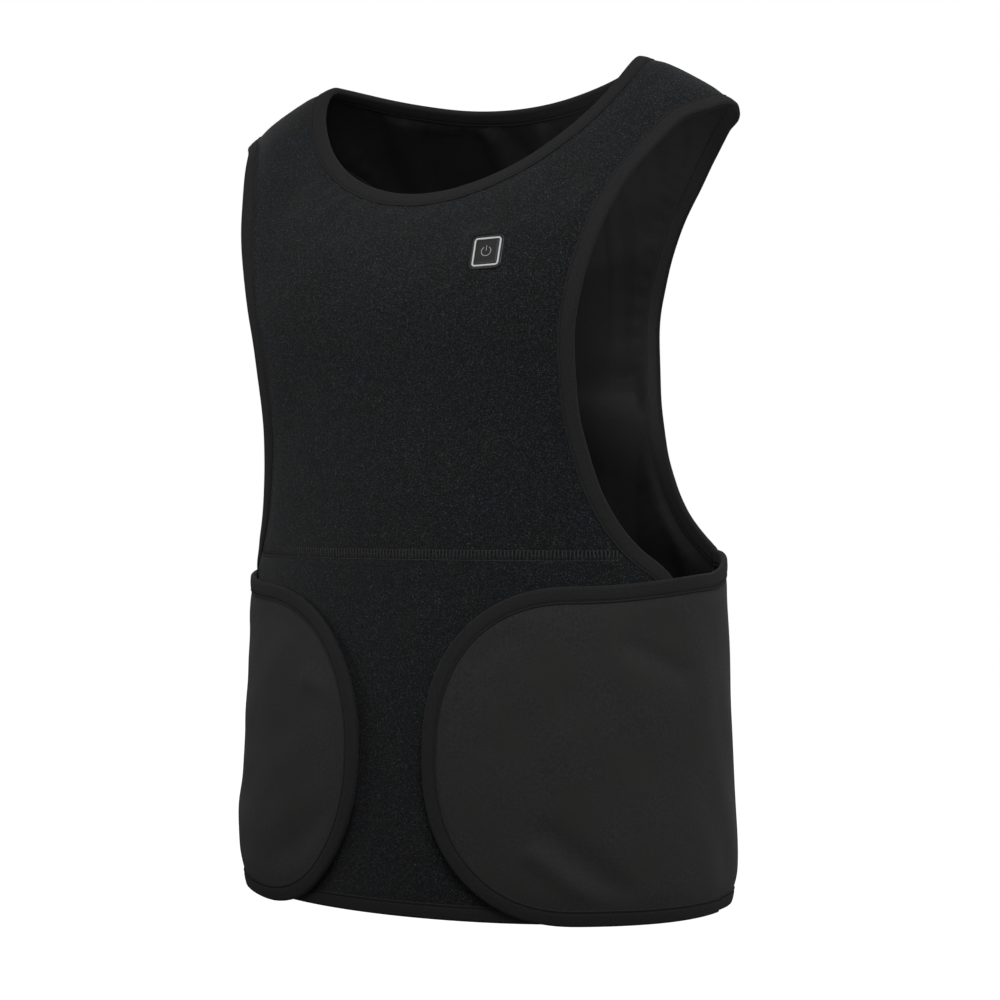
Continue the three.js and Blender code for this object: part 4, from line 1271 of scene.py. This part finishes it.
# %% Wing shells
def wing_grid(wing, upper):
    """Outer and inner points of a wing's upper or lower half, and the directions outward."""
    place = wing_place(wing)
    count = int(length_of(place, wing_edge(wing, True)) / WING_CELL)
    layers = int(WING_HEIGHT / 2 / WING_CELL)
    edge = spread(place, wing_edge(wing, upper), np.linspace(0, 1, count + 1))
    middle = WING_HEIGHT / 2
    spine_end = wing["tip"] + SPINE_SHARE * TIP_LENGTH
    along = np.linspace(0, 1, count + 1)
    up = np.linspace(0, 1, layers + 1)
    spine = np.stack([SEAM_ARC + (spine_end - SEAM_ARC) * along, np.full(count + 1, middle)], axis=-1)
    side = np.stack([np.full(layers + 1, SEAM_ARC), edge[0, 1] + (middle - edge[0, 1]) * up], axis=-1)
    nose = np.stack([wing["tip"] + (spine_end - wing["tip"]) * up, np.full(layers + 1, middle)], axis=-1)
    spots = fill(edge, spine, side, nose)
    arc, height = spots[..., 0], spots[..., 1]
    points = place(arc, height)
    normals = outward(place, arc, height)
    stand = wing["relief"](arc, height, points)[..., None]
    return points + normals * stand, points + normals * (stand - WING_WALL), normals


def make_wing(wing):
    place = wing_place(wing)
    top, hem = [line_points(place, wing_edge(wing, upper)) for upper in (True, False)]
    wing["relief"] = wing_relief(wing, np.vstack([top, hem[::-1]]))
    grids = [wing_grid(wing, upper) for upper in (True, False)]
    if wing["side"] < 0:
        grids = [mirrored_grid(grid) for grid in grids]
    points, faces, zones = sheet_of(grids)
    shell = make_piece(f"{wing['name']}_wing_shell", points, faces, (SOFTSHELL, LINING), zones)
    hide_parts(f"{wing['name']}_wing")


for wing in WINGS:
    make_wing(wing)

# %% [markdown]
# ## Bindings
# A binding is one strip of knitted tape folded over the raw edge and sewn through with a row of
# stitches near its open side. Its section is a soft U: the two legs are drawn down at the stitches
# and rise to a roll at the fold. It is swept along the edge by stations a millimetre or two apart,
# and each station finds the cloth under it, so the tape follows every swelling. A curve with a bevel
# would be quicker, but it couldn't keep both legs on the cloth.

# %% Stations of a binding
# share of REACH inward from the edge, and height over the cloth in tape thicknesses.
LEG = [
    (1.0, 0.15), (0.985, 0.95), (0.955, 1.2), (0.91, 1.15), (0.86, 0.85), (0.82, 0.5), (0.78, 0.85),
    (0.72, 1.25), (0.6, 1.5), (0.42, 1.65), (0.24, 1.65), (0.08, 1.5),
]
STITCH_SHARE = 0.82  # the row of the leg that the stitches draw down


def stations(place, spots, towards, lift, wall):
    """For spots along an edge: the cloth at each of the leg's distances inward, and its normals.

    towards gives, for each spot, another one farther inside the piece. lift gives the relief."""
    before = np.vstack([spots[:1], spots[:-1]])
    after = np.vstack([spots[1:], spots[-1:]])
    along_u, along_v = slopes_at(place, *spots.T)
    normal = unit(np.cross(along_u, along_v))
    aim = unit(np.cross(place(*after.T) - place(*before.T), normal))
    inward = place(*towards(spots).T) - place(*spots.T)
    aim *= np.sign((aim * inward).sum(axis=1, keepdims=True))
    uu, vv = (along_u**2).sum(axis=1), (along_v**2).sum(axis=1)
    uv = (along_u * along_v).sum(axis=1)
    au, av = (aim * along_u).sum(axis=1), (aim * along_v).sum(axis=1)
    rate = np.stack([au * vv - av * uv, av * uu - au * uv], axis=-1) / (uu * vv - uv**2)[:, None]
    distances = np.array([share * REACH for share, _ in LEG] + [0.0])
    cloth = spots[:, None] + rate[:, None] * distances[None, :, None]
    points = place(cloth[..., 0], cloth[..., 1])
    normals = outward(place, cloth[..., 0], cloth[..., 1])
    raised = lift(cloth, points)
    return dict(points=points + normals * raised[..., None], normals=normals, wall=np.full(len(spots), wall))


def join_runs(*runs):
    return {key: np.concatenate([run[key] for run in runs]) for key in runs[0]}


def backward(run):
    return {key: values[::-1] for key, values in run.items()}


def mirrored_run(run):
    return dict(points=mirror(run["points"]), normals=mirror(run["normals"]), wall=run["wall"])


def eased(run, closed, width):
    """Smooths the stations a little, so that the tape turns softly where two edges meet."""
    soft = dict(run)
    for key, values in run.items():
        total = np.zeros_like(values)
        for step in range(-width, width + 1):
            index = np.arange(len(values)) + step
            index = index % len(values) if closed else np.clip(index, 0, len(values) - 1)
            total = total + values[index]
        soft[key] = total / (2 * width + 1)
        if not closed:
            soft[key][:width] = values[:width]
            soft[key][-width:] = values[-width:]
    return soft


print(f"{len(LEG)} points in each leg of the tape")

# %% [markdown]
# The section at each station goes along the outer leg, round the fold and back along the inner leg,
# and closes through the hollow that the cloth fills. Joining the sections one to the next gives a
# closed tube, whose flat map runs along and across the tape for its ribs.

# %% Sweeping a binding
NOSE = 2.3  # how far the fold stands out beyond the cloth's edge
NOSE_STEPS = 9
NOSE_POWER = 0.8  # under 1 makes the fold blunter than an ellipse
ROLL = 1.5  # height of the fold over the cloth, in tape thicknesses
UNDER = 0.12  # how far the hollow side of the tape clears the cloth
OUT_ROW = 3  # row of the leg from which the direction out of the edge is taken
MAP_ROW = 10  # row of the section along which the tape's length is measured


def section_points(run):
    """Rings of the tape's section, one for each station."""
    edge, leg = run["points"][:, -1], run["points"][:, :-1]
    normal, leg_normal = unit(run["normals"][:, -1]), unit(run["normals"][:, :-1])
    wall = run["wall"][:, None, None]
    out = unit(edge - run["points"][:, OUT_ROW])
    out = unit(out - normal * (out * normal).sum(axis=1, keepdims=True))
    heights = np.array([height for _, height in LEG]) * TAPE
    outer = leg + leg_normal * heights[None, :, None]
    inner = leg - leg_normal * (wall + heights[None, :, None])
    turn = np.linspace(math.pi / 2, -math.pi / 2, NOSE_STEPS)
    half = wall[:, 0] / 2 + ROLL * TAPE
    nose = edge[:, None] + out[:, None] * (NOSE * np.cos(turn)[None, :, None] ** NOSE_POWER)
    nose = nose + normal[:, None] * (half[:, None] * np.sin(turn)[None, :, None] - wall / 2)
    hollow_in = leg[:, ::3] - leg_normal[:, ::3] * (wall + UNDER)
    hollow_out = leg[:, ::-3] + leg_normal[:, ::-3] * UNDER
    return np.concatenate([outer, nose, inner[:, ::-1], hollow_in, hollow_out], axis=1)


def sweep(rings, closed):
    """Points and faces of a tube through the rings, with its faces pointing out."""
    count, size = rings.shape[:2]
    index = np.arange(count * size).reshape(count, size)
    nexts = np.roll(index, -1, axis=0) if closed else index[1:]
    here = index if closed else index[:-1]
    sides = [here, np.roll(here, -1, axis=1), np.roll(nexts, -1, axis=1), nexts]
    faces = np.stack(sides, axis=-1).reshape(-1, 4).tolist()
    if not closed:
        faces += [index[0][::-1].tolist(), index[-1].tolist()]
    points = rings.reshape(-1, 3)
    corners = points[np.array([face[:4] for face in faces])]
    a, b, c, d = (corners[:, k] for k in range(4))
    if (a * (np.cross(b, c) + np.cross(c, d))).sum() < 0:
        faces = [face[::-1] for face in faces]
    return points, faces


def tape_map(rings):
    """Flat place of each point on the tape: along it and across it, in metres."""
    along = np.linalg.norm(np.diff(rings[:, MAP_ROW], axis=0), axis=1)
    across = np.linalg.norm(np.diff(rings, axis=1), axis=2).mean(axis=0)
    u = np.concatenate([[0], np.cumsum(along)])
    v = np.concatenate([[0], np.cumsum(across)])
    return np.stack(np.meshgrid(u, v, indexing="ij"), axis=-1).reshape(-1, 2) / MM_IN_METRE


print(f"the fold stands out {NOSE} mm")

# %% [markdown]
# A stitch is a short length of thread that comes out of the cloth, lies on it and sinks in again. As
# a small mesh of its own it catches the light as thread does, which a bump or a dashed line doesn't.
# All the stitches of a piece are joined into one mesh.

# %% Stitches
STITCH_LENGTH = 2.3
STITCH_PITCH = 3.0
THREAD = 0.28  # half the thickness of the thread
THREAD_SIDES = 6
# Along one stitch: share of its length, and thickness and height in half thicknesses of the thread.
STITCH_SHAPE = [(-0.5, 0.15, -1.1), (-0.36, 0.9, -0.1), (0, 1, 0.25), (0.36, 0.9, -0.1), (0.5, 0.15, -1.1)]


def sew(name, lines, material, length=STITCH_LENGTH, pitch=STITCH_PITCH, thread=THREAD):
    """Stitches along lines of points and normals, joined into one piece."""
    shares, swell, sink = np.array(STITCH_SHAPE).T
    turns = np.linspace(0, 2 * math.pi, THREAD_SIDES, endpoint=False)
    points, faces = [], []
    for centres, normals in lines:
        run = np.concatenate([[0], np.cumsum(np.linalg.norm(np.diff(centres, axis=0), axis=1))])
        for at in np.arange(pitch, run[-1] - pitch, pitch):
            spots = at + shares * length
            line = np.stack([np.interp(spots, run, centres[:, k]) for k in range(3)], axis=-1)
            up = unit(np.array([np.interp(at, run, normals[:, k]) for k in range(3)]))
            along = unit(line[-1] - line[0])
            side = np.cross(up, along)
            ring = np.cos(turns)[:, None] * side + np.sin(turns)[:, None] * up
            loops = [spot + (up * low + ring * size) * thread for spot, size, low in zip(line, swell, sink)]
            stitch, sides = stack_of(loops)
            start = len(points) * len(stitch)
            points.append(stitch)
            faces += [[start + i for i in face] for face in sides]
    make_piece(name, np.concatenate(points), faces, (material,))


print(f"stitches every {STITCH_PITCH} mm")

# %% [markdown]
# A binding is then one call: the tape, the two rows of stitches that go through both its legs, and
# the node of the fixed model that it stands for. The stations are smoothed a little first, because
# real tape can't turn a sharp corner.

# %% One binding with its stitches
EASE = 3  # stations on each side that the smoothing takes in


def bind(name, run, closed, replaced, ease=EASE):
    """A tape, its two rows of stitches, and the node that they stand for."""
    run = eased(run, closed, ease)
    rings = section_points(run)
    points, faces = sweep(rings, closed)
    tape = make_piece(name, points, faces, (BINDING,), uv=tape_map(rings))
    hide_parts(replaced)
    row = [share for share, _ in LEG].index(STITCH_SHARE)
    height = LEG[row][1] * TAPE + THREAD / 2
    normals = unit(run["normals"][:, row])
    cloth = run["points"][:, row]
    rows = [
        (cloth + normals * height, normals),
        (cloth - normals * (run["wall"][:, None] + height), -normals),
    ]
    sew(f"{name}_stitches", rows, STITCH)


print("a tape is smoothed over", 2 * EASE + 1, "stations")

# %% [markdown]
# ### Neck, armholes and hems
# The neck's tape is one closed ring: the front's half, the back's half and their mirror images. Each
# armhole's tape runs up the front's side edge, round the armhole and down to the back's corner. The
# hems have one tape each.

# %% Bindings of the body
STATION = 1.6
ARM_EASE = 5  # the armholes turn sharply at the front panels' corner


def edge_run(place, line, towards, wall):
    """Stations along an edge of the front or back."""
    def lift(_, points):
        return cloth_relief(points)

    count = int(length_of(place, line) / STATION)
    spots = spread(place, line, np.linspace(0, 1, count + 1))
    return stations(place, spots, towards, lift, wall)


# Each of these gives spots farther inside the piece than the edge's own.
def lower(spots):
    return spots + [0, 1]


def to_middle(spots):
    return spots * [0.5, 1]


def upward(spots):
    return spots + [0, 5]


def hem_line(start, end):
    return lambda share: np.stack([start + (end - start) * share, np.zeros_like(share)], axis=-1)


front_neck_run = edge_run(CHEST, neck_line(FRONT_NECK), lower, FRONT_WALL)
back_neck_run = edge_run(SHOULDER_BLADES, neck_line(BACK_NECK), lower, BACK_STACK)
half_neck = join_runs(front_neck_run, backward(back_neck_run))
other_half = backward(mirrored_run(half_neck))
neck_run = join_runs(half_neck, {key: values[1:-1] for key, values in other_half.items()})
bind("neck_tape", neck_run, True, "neck_binding")

side_run = edge_run(round_body, side_line, to_middle, FRONT_WALL)
front_arm_run = edge_run(CHEST, front_arm, to_middle, FRONT_WALL)
back_arm_run = edge_run(SHOULDER_BLADES, back_arm, to_middle, BACK_STACK)
arm_run = join_runs(side_run, front_arm_run, backward(back_arm_run))
bind("left_armhole_tape", arm_run, False, "left_armhole_binding", ARM_EASE)
bind("right_armhole_tape", mirrored_run(arm_run), False, "right_armhole_binding", ARM_EASE)

front_hem_run = edge_run(round_body, hem_line(-SIDE_ANGLE, SIDE_ANGLE), upward, FRONT_WALL)
back_hem_run = edge_run(round_body, hem_line(SEAM_ANGLE, 360 - SEAM_ANGLE), upward, BACK_STACK)
bind("front_hem_tape", front_hem_run, False, "front_hem_binding")
bind("back_hem_tape", back_hem_run, False, "back_hem_binding")

# %% [markdown]
# ### Side seams
# The wings' allowance is sewn down to the back with one row beside each side seam. The row follows
# the back's relief, like the seam itself.

# %% Topstitching beside the side seams
SIDE_ROW = 3.0  # from the seam to the row of stitches on the back
SIDE_ROW_POINTS = 160
MEAN_RADIUS = math.hypot(HEM_HALF, BACK_DEPTH) / math.sqrt(2)


def side_row(side):
    """Points and normals of the row on one side, 1 for the wearer's left and -1 for the right."""
    across = math.degrees(SIDE_ROW / MEAN_RADIUS)
    heights = np.linspace(REACH, BAND_HEIGHT - REACH, SIDE_ROW_POINTS)
    angles = np.full_like(heights, SEAM_ANGLE + across)
    points = round_body(angles, heights)
    normals = outward(round_body, angles, heights)
    points = points + normals * cloth_relief(points)[..., None]
    return points * [side, 1, 1], normals * [side, 1, 1]


sew("side_seam_stitches", [side_row(side) for side in (1, -1)], STITCH)

# %% [markdown]
# ### Wings' bindings
# A wing's tape starts at the top of the side seam, goes round the tip and comes back along the hem.
# It lies on the wing's own relief, so it lifts with the tip and dips with the dents.

# %% Bindings of the wings
TIP_STEP = 0.01  # keeps the last station off the tip's own point, where the edge has no slope


def wing_run(wing):
    place = wing_place(wing)
    middle = WING_HEIGHT / 2
    centre = wing["tip"] + TIP_LENGTH

    def towards(spots):
        return np.stack([np.maximum(spots[:, 0], centre), np.full(len(spots), middle)], axis=-1)

    def lift(cloth, points):
        return wing["relief"](cloth[..., 0], cloth[..., 1], points)

    runs = []
    for upper in (True, False):
        line = wing_edge(wing, upper)
        count = int(length_of(place, line) / STATION)
        spots = spread(place, line, np.linspace(0, 1, count + 1))
        spots[-1, 1] += TIP_STEP if upper else -TIP_STEP
        runs.append(stations(place, spots, towards, lift, WING_WALL))
    along_hem = {key: values[:-1] for key, values in runs[1].items()}
    whole = join_runs(runs[0], backward(along_hem))
    return whole if wing["side"] > 0 else mirrored_run(whole)


for wing in WINGS:
    bind(f"{wing['name']}_wing_tape", wing_run(wing), False, f"{wing['name']}_wing_binding")

# %% [markdown]
# ## Flat seam across the front
# The two front panels are joined edge to edge by a cover stitch: a ladder of thread 5.4 mm tall whose
# rungs are 2.7 mm apart, between two rows of needle stitches. Real thread lies proud of the knit, so
# each rung is its own small mesh, leaning a little one way or the other.

# %% Ladder of the flat seam
RUNG_PITCH = 2.7
RUNG_HEIGHT = 5.4
RUNG_LEAN = 0.35  # how far a rung's ends may be off its middle
RUNG_EXTRA = 0.08  # how far a rung runs into the cloth at each end, as a share of its length
RUNG_WIDE = 1.25  # a rung lies flatter than it is wide
LADDER_THREAD = 0.34  # half the thickness of a rung
LADDER_LIFT = 0.15
SEAM_LINE_POINTS = 400
SEAM_MARGIN = 1  # from the seam's end to the armhole's tape
LADDER_SEED = 5
# Along a rung: share of its length, and thickness and height in half thicknesses of the thread.
RUNG_SHAPE = [(0, 0.3, -0.8), (0.12, 0.95, 0.1), (0.5, 1.1, 0.35), (0.88, 0.95, 0.1), (1, 0.3, -0.8)]


def seam_line(height, lift):
    """A line across the front at a height, from armhole tape to armhole tape."""
    corner = front_corner - REACH - SEAM_MARGIN
    x = np.linspace(-corner, corner, SEAM_LINE_POINTS)
    fall = fall_at(x, np.full_like(x, float(height)))
    points = CHEST(x, fall)
    normals = outward(CHEST, x, fall)
    return points + normals * (cloth_relief(points) + lift)[..., None], normals


def rung_loops(foot, head, up):
    """Loops of one laid thread: sunk at its ends and a little thicker in its middle."""
    extra = RUNG_EXTRA * (head - foot)
    foot, head = foot - extra, head + extra
    side = unit(np.cross(up, head - foot))
    turns = np.linspace(0, 2 * math.pi, THREAD_SIDES, endpoint=False)
    ring = np.cos(turns)[:, None] * side * RUNG_WIDE + np.sin(turns)[:, None] * up
    return [
        foot + (head - foot) * share + (up * low + ring * size) * LADDER_THREAD
        for share, size, low in RUNG_SHAPE
    ]


def sew_ladder():
    low, normals = seam_line(SEAM_HEIGHT - RUNG_HEIGHT / 2, LADDER_LIFT)
    high, _ = seam_line(SEAM_HEIGHT + RUNG_HEIGHT / 2, LADDER_LIFT)
    run = np.concatenate([[0], np.cumsum(np.linalg.norm(np.diff(low, axis=0), axis=1))])
    random = np.random.default_rng(LADDER_SEED)
    points, faces = [], []
    for at in np.arange(RUNG_PITCH, run[-1] - RUNG_PITCH, RUNG_PITCH):
        lean = random.uniform(-RUNG_LEAN, RUNG_LEAN)
        foot = np.array([np.interp(at - lean, run, low[:, k]) for k in range(3)])
        head = np.array([np.interp(at + lean, run, high[:, k]) for k in range(3)])
        up = unit(np.array([np.interp(at, run, normals[:, k]) for k in range(3)]))
        rung, sides = stack_of(rung_loops(foot, head, up))
        start = len(points) * len(rung)
        points.append(rung)
        faces += [[start + i for i in face] for face in sides]
    make_piece("flat_seam_ladder", np.concatenate(points), faces, (LADDER,))


sew_ladder()

# %% [markdown]
# The needles of a cover stitch leave straight rows beside the ladder: one close above it and one a
# little below, in the same thread.

# %% Needle rows of the flat seam
# side is 1 above the ladder and -1 below it, and away is the distance from it in mm.
NEEDLE_ROWS = [dict(side=1, away=0.2), dict(side=-1, away=1.3)]
NEEDLE_STITCH = dict(length=2.5, pitch=2.7, thread=0.24)
NEEDLE_LIFT = 0.1

needle_lines = [
    seam_line(SEAM_HEIGHT + row["side"] * (RUNG_HEIGHT / 2 + row["away"]), NEEDLE_LIFT)
    for row in NEEDLE_ROWS
]
sew("flat_seam_rows", needle_lines, LADDER, **NEEDLE_STITCH)

# %% [markdown]
# ## Hook patches
# Each wing closes with a square of hook tape sewn to its inside. It only shows as a dark edge in the
# gap under the wing, so a plain rounded patch on the body's surface is enough.

# %% Hook patches
PATCH_WIDE = 55
PATCH_HIGH = 110
PATCH_GAP = 0.5
PATCH_CLEAR = 0.9
PATCH_START = 75
PATCH_MIDDLE = 115
PATCH_COLUMNS = 19
PATCH_ROWS = 37
PATCH_RIM = 14  # the higher this power, the narrower the rounded rim
PATCH_ROUND = dict(outer=0.5, inner=0.3)  # how far each face rounds off at the rim


def hook_patch(wing):
    arcs = wing["tip"] + PATCH_START + np.linspace(0, PATCH_WIDE, PATCH_COLUMNS)
    heights = PATCH_MIDDLE + np.linspace(-0.5, 0.5, PATCH_ROWS) * PATCH_HIGH
    angle, height = np.meshgrid(np.interp(arcs, arc_table, arc_angles), heights)
    u = np.linspace(-1, 1, PATCH_COLUMNS)[None, :]
    v = np.linspace(-1, 1, PATCH_ROWS)[:, None]
    rim = np.maximum(np.abs(u) ** PATCH_RIM, np.abs(v) ** (2 * PATCH_RIM))
    points = round_body(angle, height)
    normals = outward(round_body, angle, height)
    outer = points + normals * (WING_GAP - PATCH_CLEAR - PATCH_ROUND["outer"] * rim)[..., None]
    inner = points + normals * (PATCH_GAP + PATCH_ROUND["inner"] * rim)[..., None]
    grid = (outer, inner, normals)
    points, faces, _ = sheet_of([grid if wing["side"] > 0 else mirrored_grid(grid)])
    patch = make_piece(f"{wing['name']}_hook_square", points, faces, (HOOKS,), sharp=SHARP)
    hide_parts(f"{wing['name']}_hook_patch")


for wing in WINGS:
    hook_patch(wing)

# %% [markdown]
# ## Power button
# An almost square push button is let into the chest: a black housing, a white frame that lights up
# and a black key with a printed mark. Every moulded edge has a radius, which is what catches the
# light, so each part is a stack of rounded outlines instead of an extruded one with sharp edges.

# %% Helpers for the button
BUTTON_PROUD = 0.8  # how far the housing and frame stand out of the chest's plain form
FRAME_WIDE = 20.5
FRAME_TALL = 22.2
FRAME_BAND = 1.3
FRAME_CORNER = 2.6
POCKET_DEPTH = 1.4
KEY_PROUD = 0.5
SMALLEST_CORNER = 0.05
POCKET_FLOOR = BUTTON_PROUD - POCKET_DEPTH
SEAT_FLOOR = POCKET_FLOOR + CLEARANCE


def button_loops(wide, tall, corner, rows):
    """Loops on the seat from rows of (how far inside the outline, height)."""
    loops = []
    for inside, height in rows:
        rounding = max(corner - inside, SMALLEST_CORNER)
        loops.append(on_seat(rounded_rectangle(wide - 2 * inside, tall - 2 * inside, rounding), height))
    return loops


def button_part(points, faces, name, slot, material):
    part = make_piece(f"button_{name}", points, faces, (material,), sharp=SHARP)
    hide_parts(f"power_button_{name}")


print(f"the frame is {FRAME_WIDE} mm wide in a housing of {BUTTON_WIDE} mm")

# %% [markdown]
# The housing is one loop after another: up its side, over its rounded rim, down into the pocket and
# across the pocket's floor. The rows below are such a section, as distances inside an outline and
# heights.

# %% Housing
side_rows = [
    (0, -FRONT_WALL), (0, BUTTON_PROUD - 0.6), (0.1, BUTTON_PROUD - 0.25),
    (0.35, BUTTON_PROUD - 0.05), (0.6, BUTTON_PROUD),
]
pocket_rows = [
    (-CLEARANCE - 0.2, BUTTON_PROUD), (-CLEARANCE - 0.05, BUTTON_PROUD - 0.1),
    (-CLEARANCE, BUTTON_PROUD - 0.3), (-CLEARANCE, POCKET_FLOOR),
]
housing = button_loops(BUTTON_WIDE, BUTTON_TALL, BUTTON_CORNER, side_rows)
housing += button_loops(FRAME_WIDE, FRAME_TALL, FRAME_CORNER, pocket_rows)
button_part(*stack_of(housing), "housing", "black_plastic", BLACK_PLASTIC)

# %% [markdown]
# The frame's section goes up outside, over the top and down inside, and its last loop joins the
# first. The key is a low dome: its top sinks a little toward its rim, as a soft moulded cap does.

# %% Frame and key
outer_rows = [(0, SEAT_FLOOR), (0, BUTTON_PROUD - 0.3), (0.07, BUTTON_PROUD - 0.08), (0.25, BUTTON_PROUD)]
inner_rows = [(FRAME_BAND - inside, height) for inside, height in outer_rows[::-1]]
frame_loops = button_loops(FRAME_WIDE, FRAME_TALL, FRAME_CORNER, outer_rows + inner_rows)
points, faces = stack_of(frame_loops, cap_first=False, cap_last=False)
count = len(frame_loops[0])
last = (len(frame_loops) - 1) * count
faces += [[last + i, last + (i + 1) % count, (i + 1) % count, i] for i in range(count)]
button_part(points, faces, "frame", "white_plastic", WHITE_PLASTIC)

key_edge = FRAME_BAND + CLEARANCE
key_top = BUTTON_PROUD + KEY_PROUD
key_rows = [
    (0, SEAT_FLOOR), (0, key_top - 0.5), (0.15, key_top - 0.15), (0.5, key_top),
    (2.5, key_top - 0.1), (5.5, key_top - 0.18),
]
key_rows = [(key_edge + inside, height) for inside, height in key_rows]
key = button_loops(FRAME_WIDE, FRAME_TALL, FRAME_CORNER, key_rows)
button_part(*stack_of(key), "key", "black_plastic", BLACK_PLASTIC)

# %% [markdown]
# The mark on the key is the plain power sign, a broken ring with an upright bar. It is printed, so it
# is a very thin body that stands just out of the key.

# %% Power sign on the key
SIGN_RADIUS = 3.6
SIGN_WIDTH = 0.45
SIGN_GAP = math.radians(32)
SIGN_POINTS = 49
SIGN_BAR = (0.3, 1.25 * SIGN_RADIUS)  # lowest and highest point of the bar over the ring's middle
SIGN_HEIGHTS = (key_top - 0.25, key_top - 0.02)
SIGN_SHARP = 30  # degrees


def power_sign():
    turns = np.linspace(math.pi / 2 + SIGN_GAP, 2.5 * math.pi - SIGN_GAP, SIGN_POINTS)
    circle = np.stack([np.cos(turns), np.sin(turns)], axis=-1)
    inside, outside = [circle * (SIGN_RADIUS + side * SIGN_WIDTH / 2) for side in (-1, 1)]
    low, high = SIGN_HEIGHTS
    ring = [on_seat(inside, low), on_seat(outside, low), on_seat(outside, high), on_seat(inside, high)]
    faces = []
    for k in range(4):
        start, after = k * SIGN_POINTS, (k + 1) % 4 * SIGN_POINTS
        faces += [[start + i, start + i + 1, after + i + 1, after + i] for i in range(SIGN_POINTS - 1)]
    first = [k * SIGN_POINTS for k in range(4)]
    faces += [first, [i + SIGN_POINTS - 1 for i in first][::-1]]
    corners = [(-1, 0), (1, 0), (1, 1), (-1, 1)]
    bar = np.array([(side * SIGN_WIDTH / 2, SIGN_BAR[end]) for side, end in corners])
    bar_points, bar_faces = stack_of([on_seat(bar, low), on_seat(bar, high)])
    faces += [[4 * SIGN_POINTS + i for i in face] for face in bar_faces]
    points = np.concatenate([*ring, bar_points])
    make_piece("power_sign", points, faces, (MARK,), sharp=SIGN_SHARP)


power_sign()

# %% [markdown]
# ## Studio
# The photograph is a cut-out on white, lit so softly that it has almost no shadow. The camera sees a
# white sky and floor, but what they send to the vest is dim, because black cloth under a full white
# sky turns grey. The floor is pale and well below the vest, at a wearer's feet.

# %% Sky and floor
FLOOR = -1.45  # metres
FLOOR_HALF = 12  # metres
SKY = 0.24  # light of the sky on the vest; the camera sees it as plain white
WHITE = (1, 1, 1, 1)

studio = bpy.data.worlds.new("studio")
studio.use_nodes = True
sky = studio.node_tree
seen = add_node(sky, "LightPath").outputs["Is Camera Ray"]
strength = add_node(sky, "MapRange", {"Value": seen, "To Min": SKY, "To Max": 1.0}).outputs[0]
sky.links.new(strength, sky.nodes["Background"].inputs["Strength"])
sky.nodes["Background"].inputs["Color"].default_value = WHITE
bpy.context.scene.world = studio

paper = bpy.data.materials.new("white_paper")
paper.use_nodes = True
paper_nodes = paper.node_tree
shader = paper_nodes.nodes["Principled BSDF"]
shader.inputs["Base Color"].default_value = linear("8a8a8a")
shader.inputs["Roughness"].default_value = 0.9
shader.inputs["Emission Color"].default_value = WHITE
seen = add_node(paper_nodes, "LightPath").outputs["Is Camera Ray"]
paper_nodes.links.new(seen, shader.inputs["Emission Strength"])

floor_mesh = bpy.data.meshes.new("floor")
floor_corners = [(x * FLOOR_HALF, y * FLOOR_HALF, FLOOR) for x, y in ((-1, -1), (1, -1), (1, 1), (-1, 1))]
floor_mesh.from_pydata(floor_corners, [], [(0, 1, 2, 3)])
floor_mesh.materials.append(paper)
floor = bpy.data.objects.new("floor", floor_mesh)
bpy.context.collection.objects.link(floor)
print(f"floor {-FLOOR} m below the shoulders")

# %% [markdown]
# A large key lamp near the camera lights the chest and the near strap, and two more round the side
# and the back keep those from going black. Three spots finish the picture. One skims the wings from
# the wearer's right, one lifts the middle of the chest, and one hangs inside the vest, so that the
# folds of the lining can be read through the armhole.

# %% Lamps and spots
# azimuth is measured like the camera's, from straight in front toward the wearer's left, and
# lengths are in metres.
LAMPS = [
    dict(name="key", azimuth=36, height=0.75, distance=1.3, side=0.8, power=12.5),
    dict(name="side", azimuth=105, height=0.3, distance=2.2, side=1.2, power=7),
    dict(name="back", azimuth=205, height=0.4, distance=2.2, side=1.5, power=10),
]
LAMP_AIM = Vector((0, 0, -0.25))
SPOTS = [
    dict(name="skim", place=(-1.2, -1.0, -0.3), aim=(-0.1, -0.1, -0.47), cone=17, size=0.04, power=4),
    dict(name="chest", place=(-0.5, -1.15, 0.0), aim=(-0.03, -0.12, -0.21), cone=17, size=0.2, power=36),
    dict(name="inside", place=(-0.03, -0.04, -0.3), aim=(0.17, 0.08, -0.1), cone=80, size=0.03, power=1.3),
]


def hang(light, place, aim):
    """Puts a lamp at a place, facing a point."""
    holder = bpy.data.objects.new(light.name, light)
    holder.location = place
    holder.rotation_euler = (Vector(aim) - Vector(place)).to_track_quat("-Z", "Y").to_euler()
    holder.visible_camera = False
    bpy.context.collection.objects.link(holder)


for lamp in LAMPS:
    light = bpy.data.lights.new(lamp["name"], "AREA")
    light.size = lamp["side"]
    light.energy = lamp["power"]
    turn = math.radians(lamp["azimuth"])
    away = lamp["distance"]
    hang(light, (away * math.sin(turn), -away * math.cos(turn), lamp["height"]), LAMP_AIM)
for spot in SPOTS:
    light = bpy.data.lights.new(spot["name"], "SPOT")
    light.spot_size = math.radians(spot["cone"])
    light.spot_blend = 1.0
    light.shadow_soft_size = spot["size"]
    light.energy = spot["power"]
    hang(light, spot["place"], spot["aim"])
bpy.context.scene.view_settings.view_transform = "Standard"
print(len(LAMPS), "lamps and", len(SPOTS), "spots")
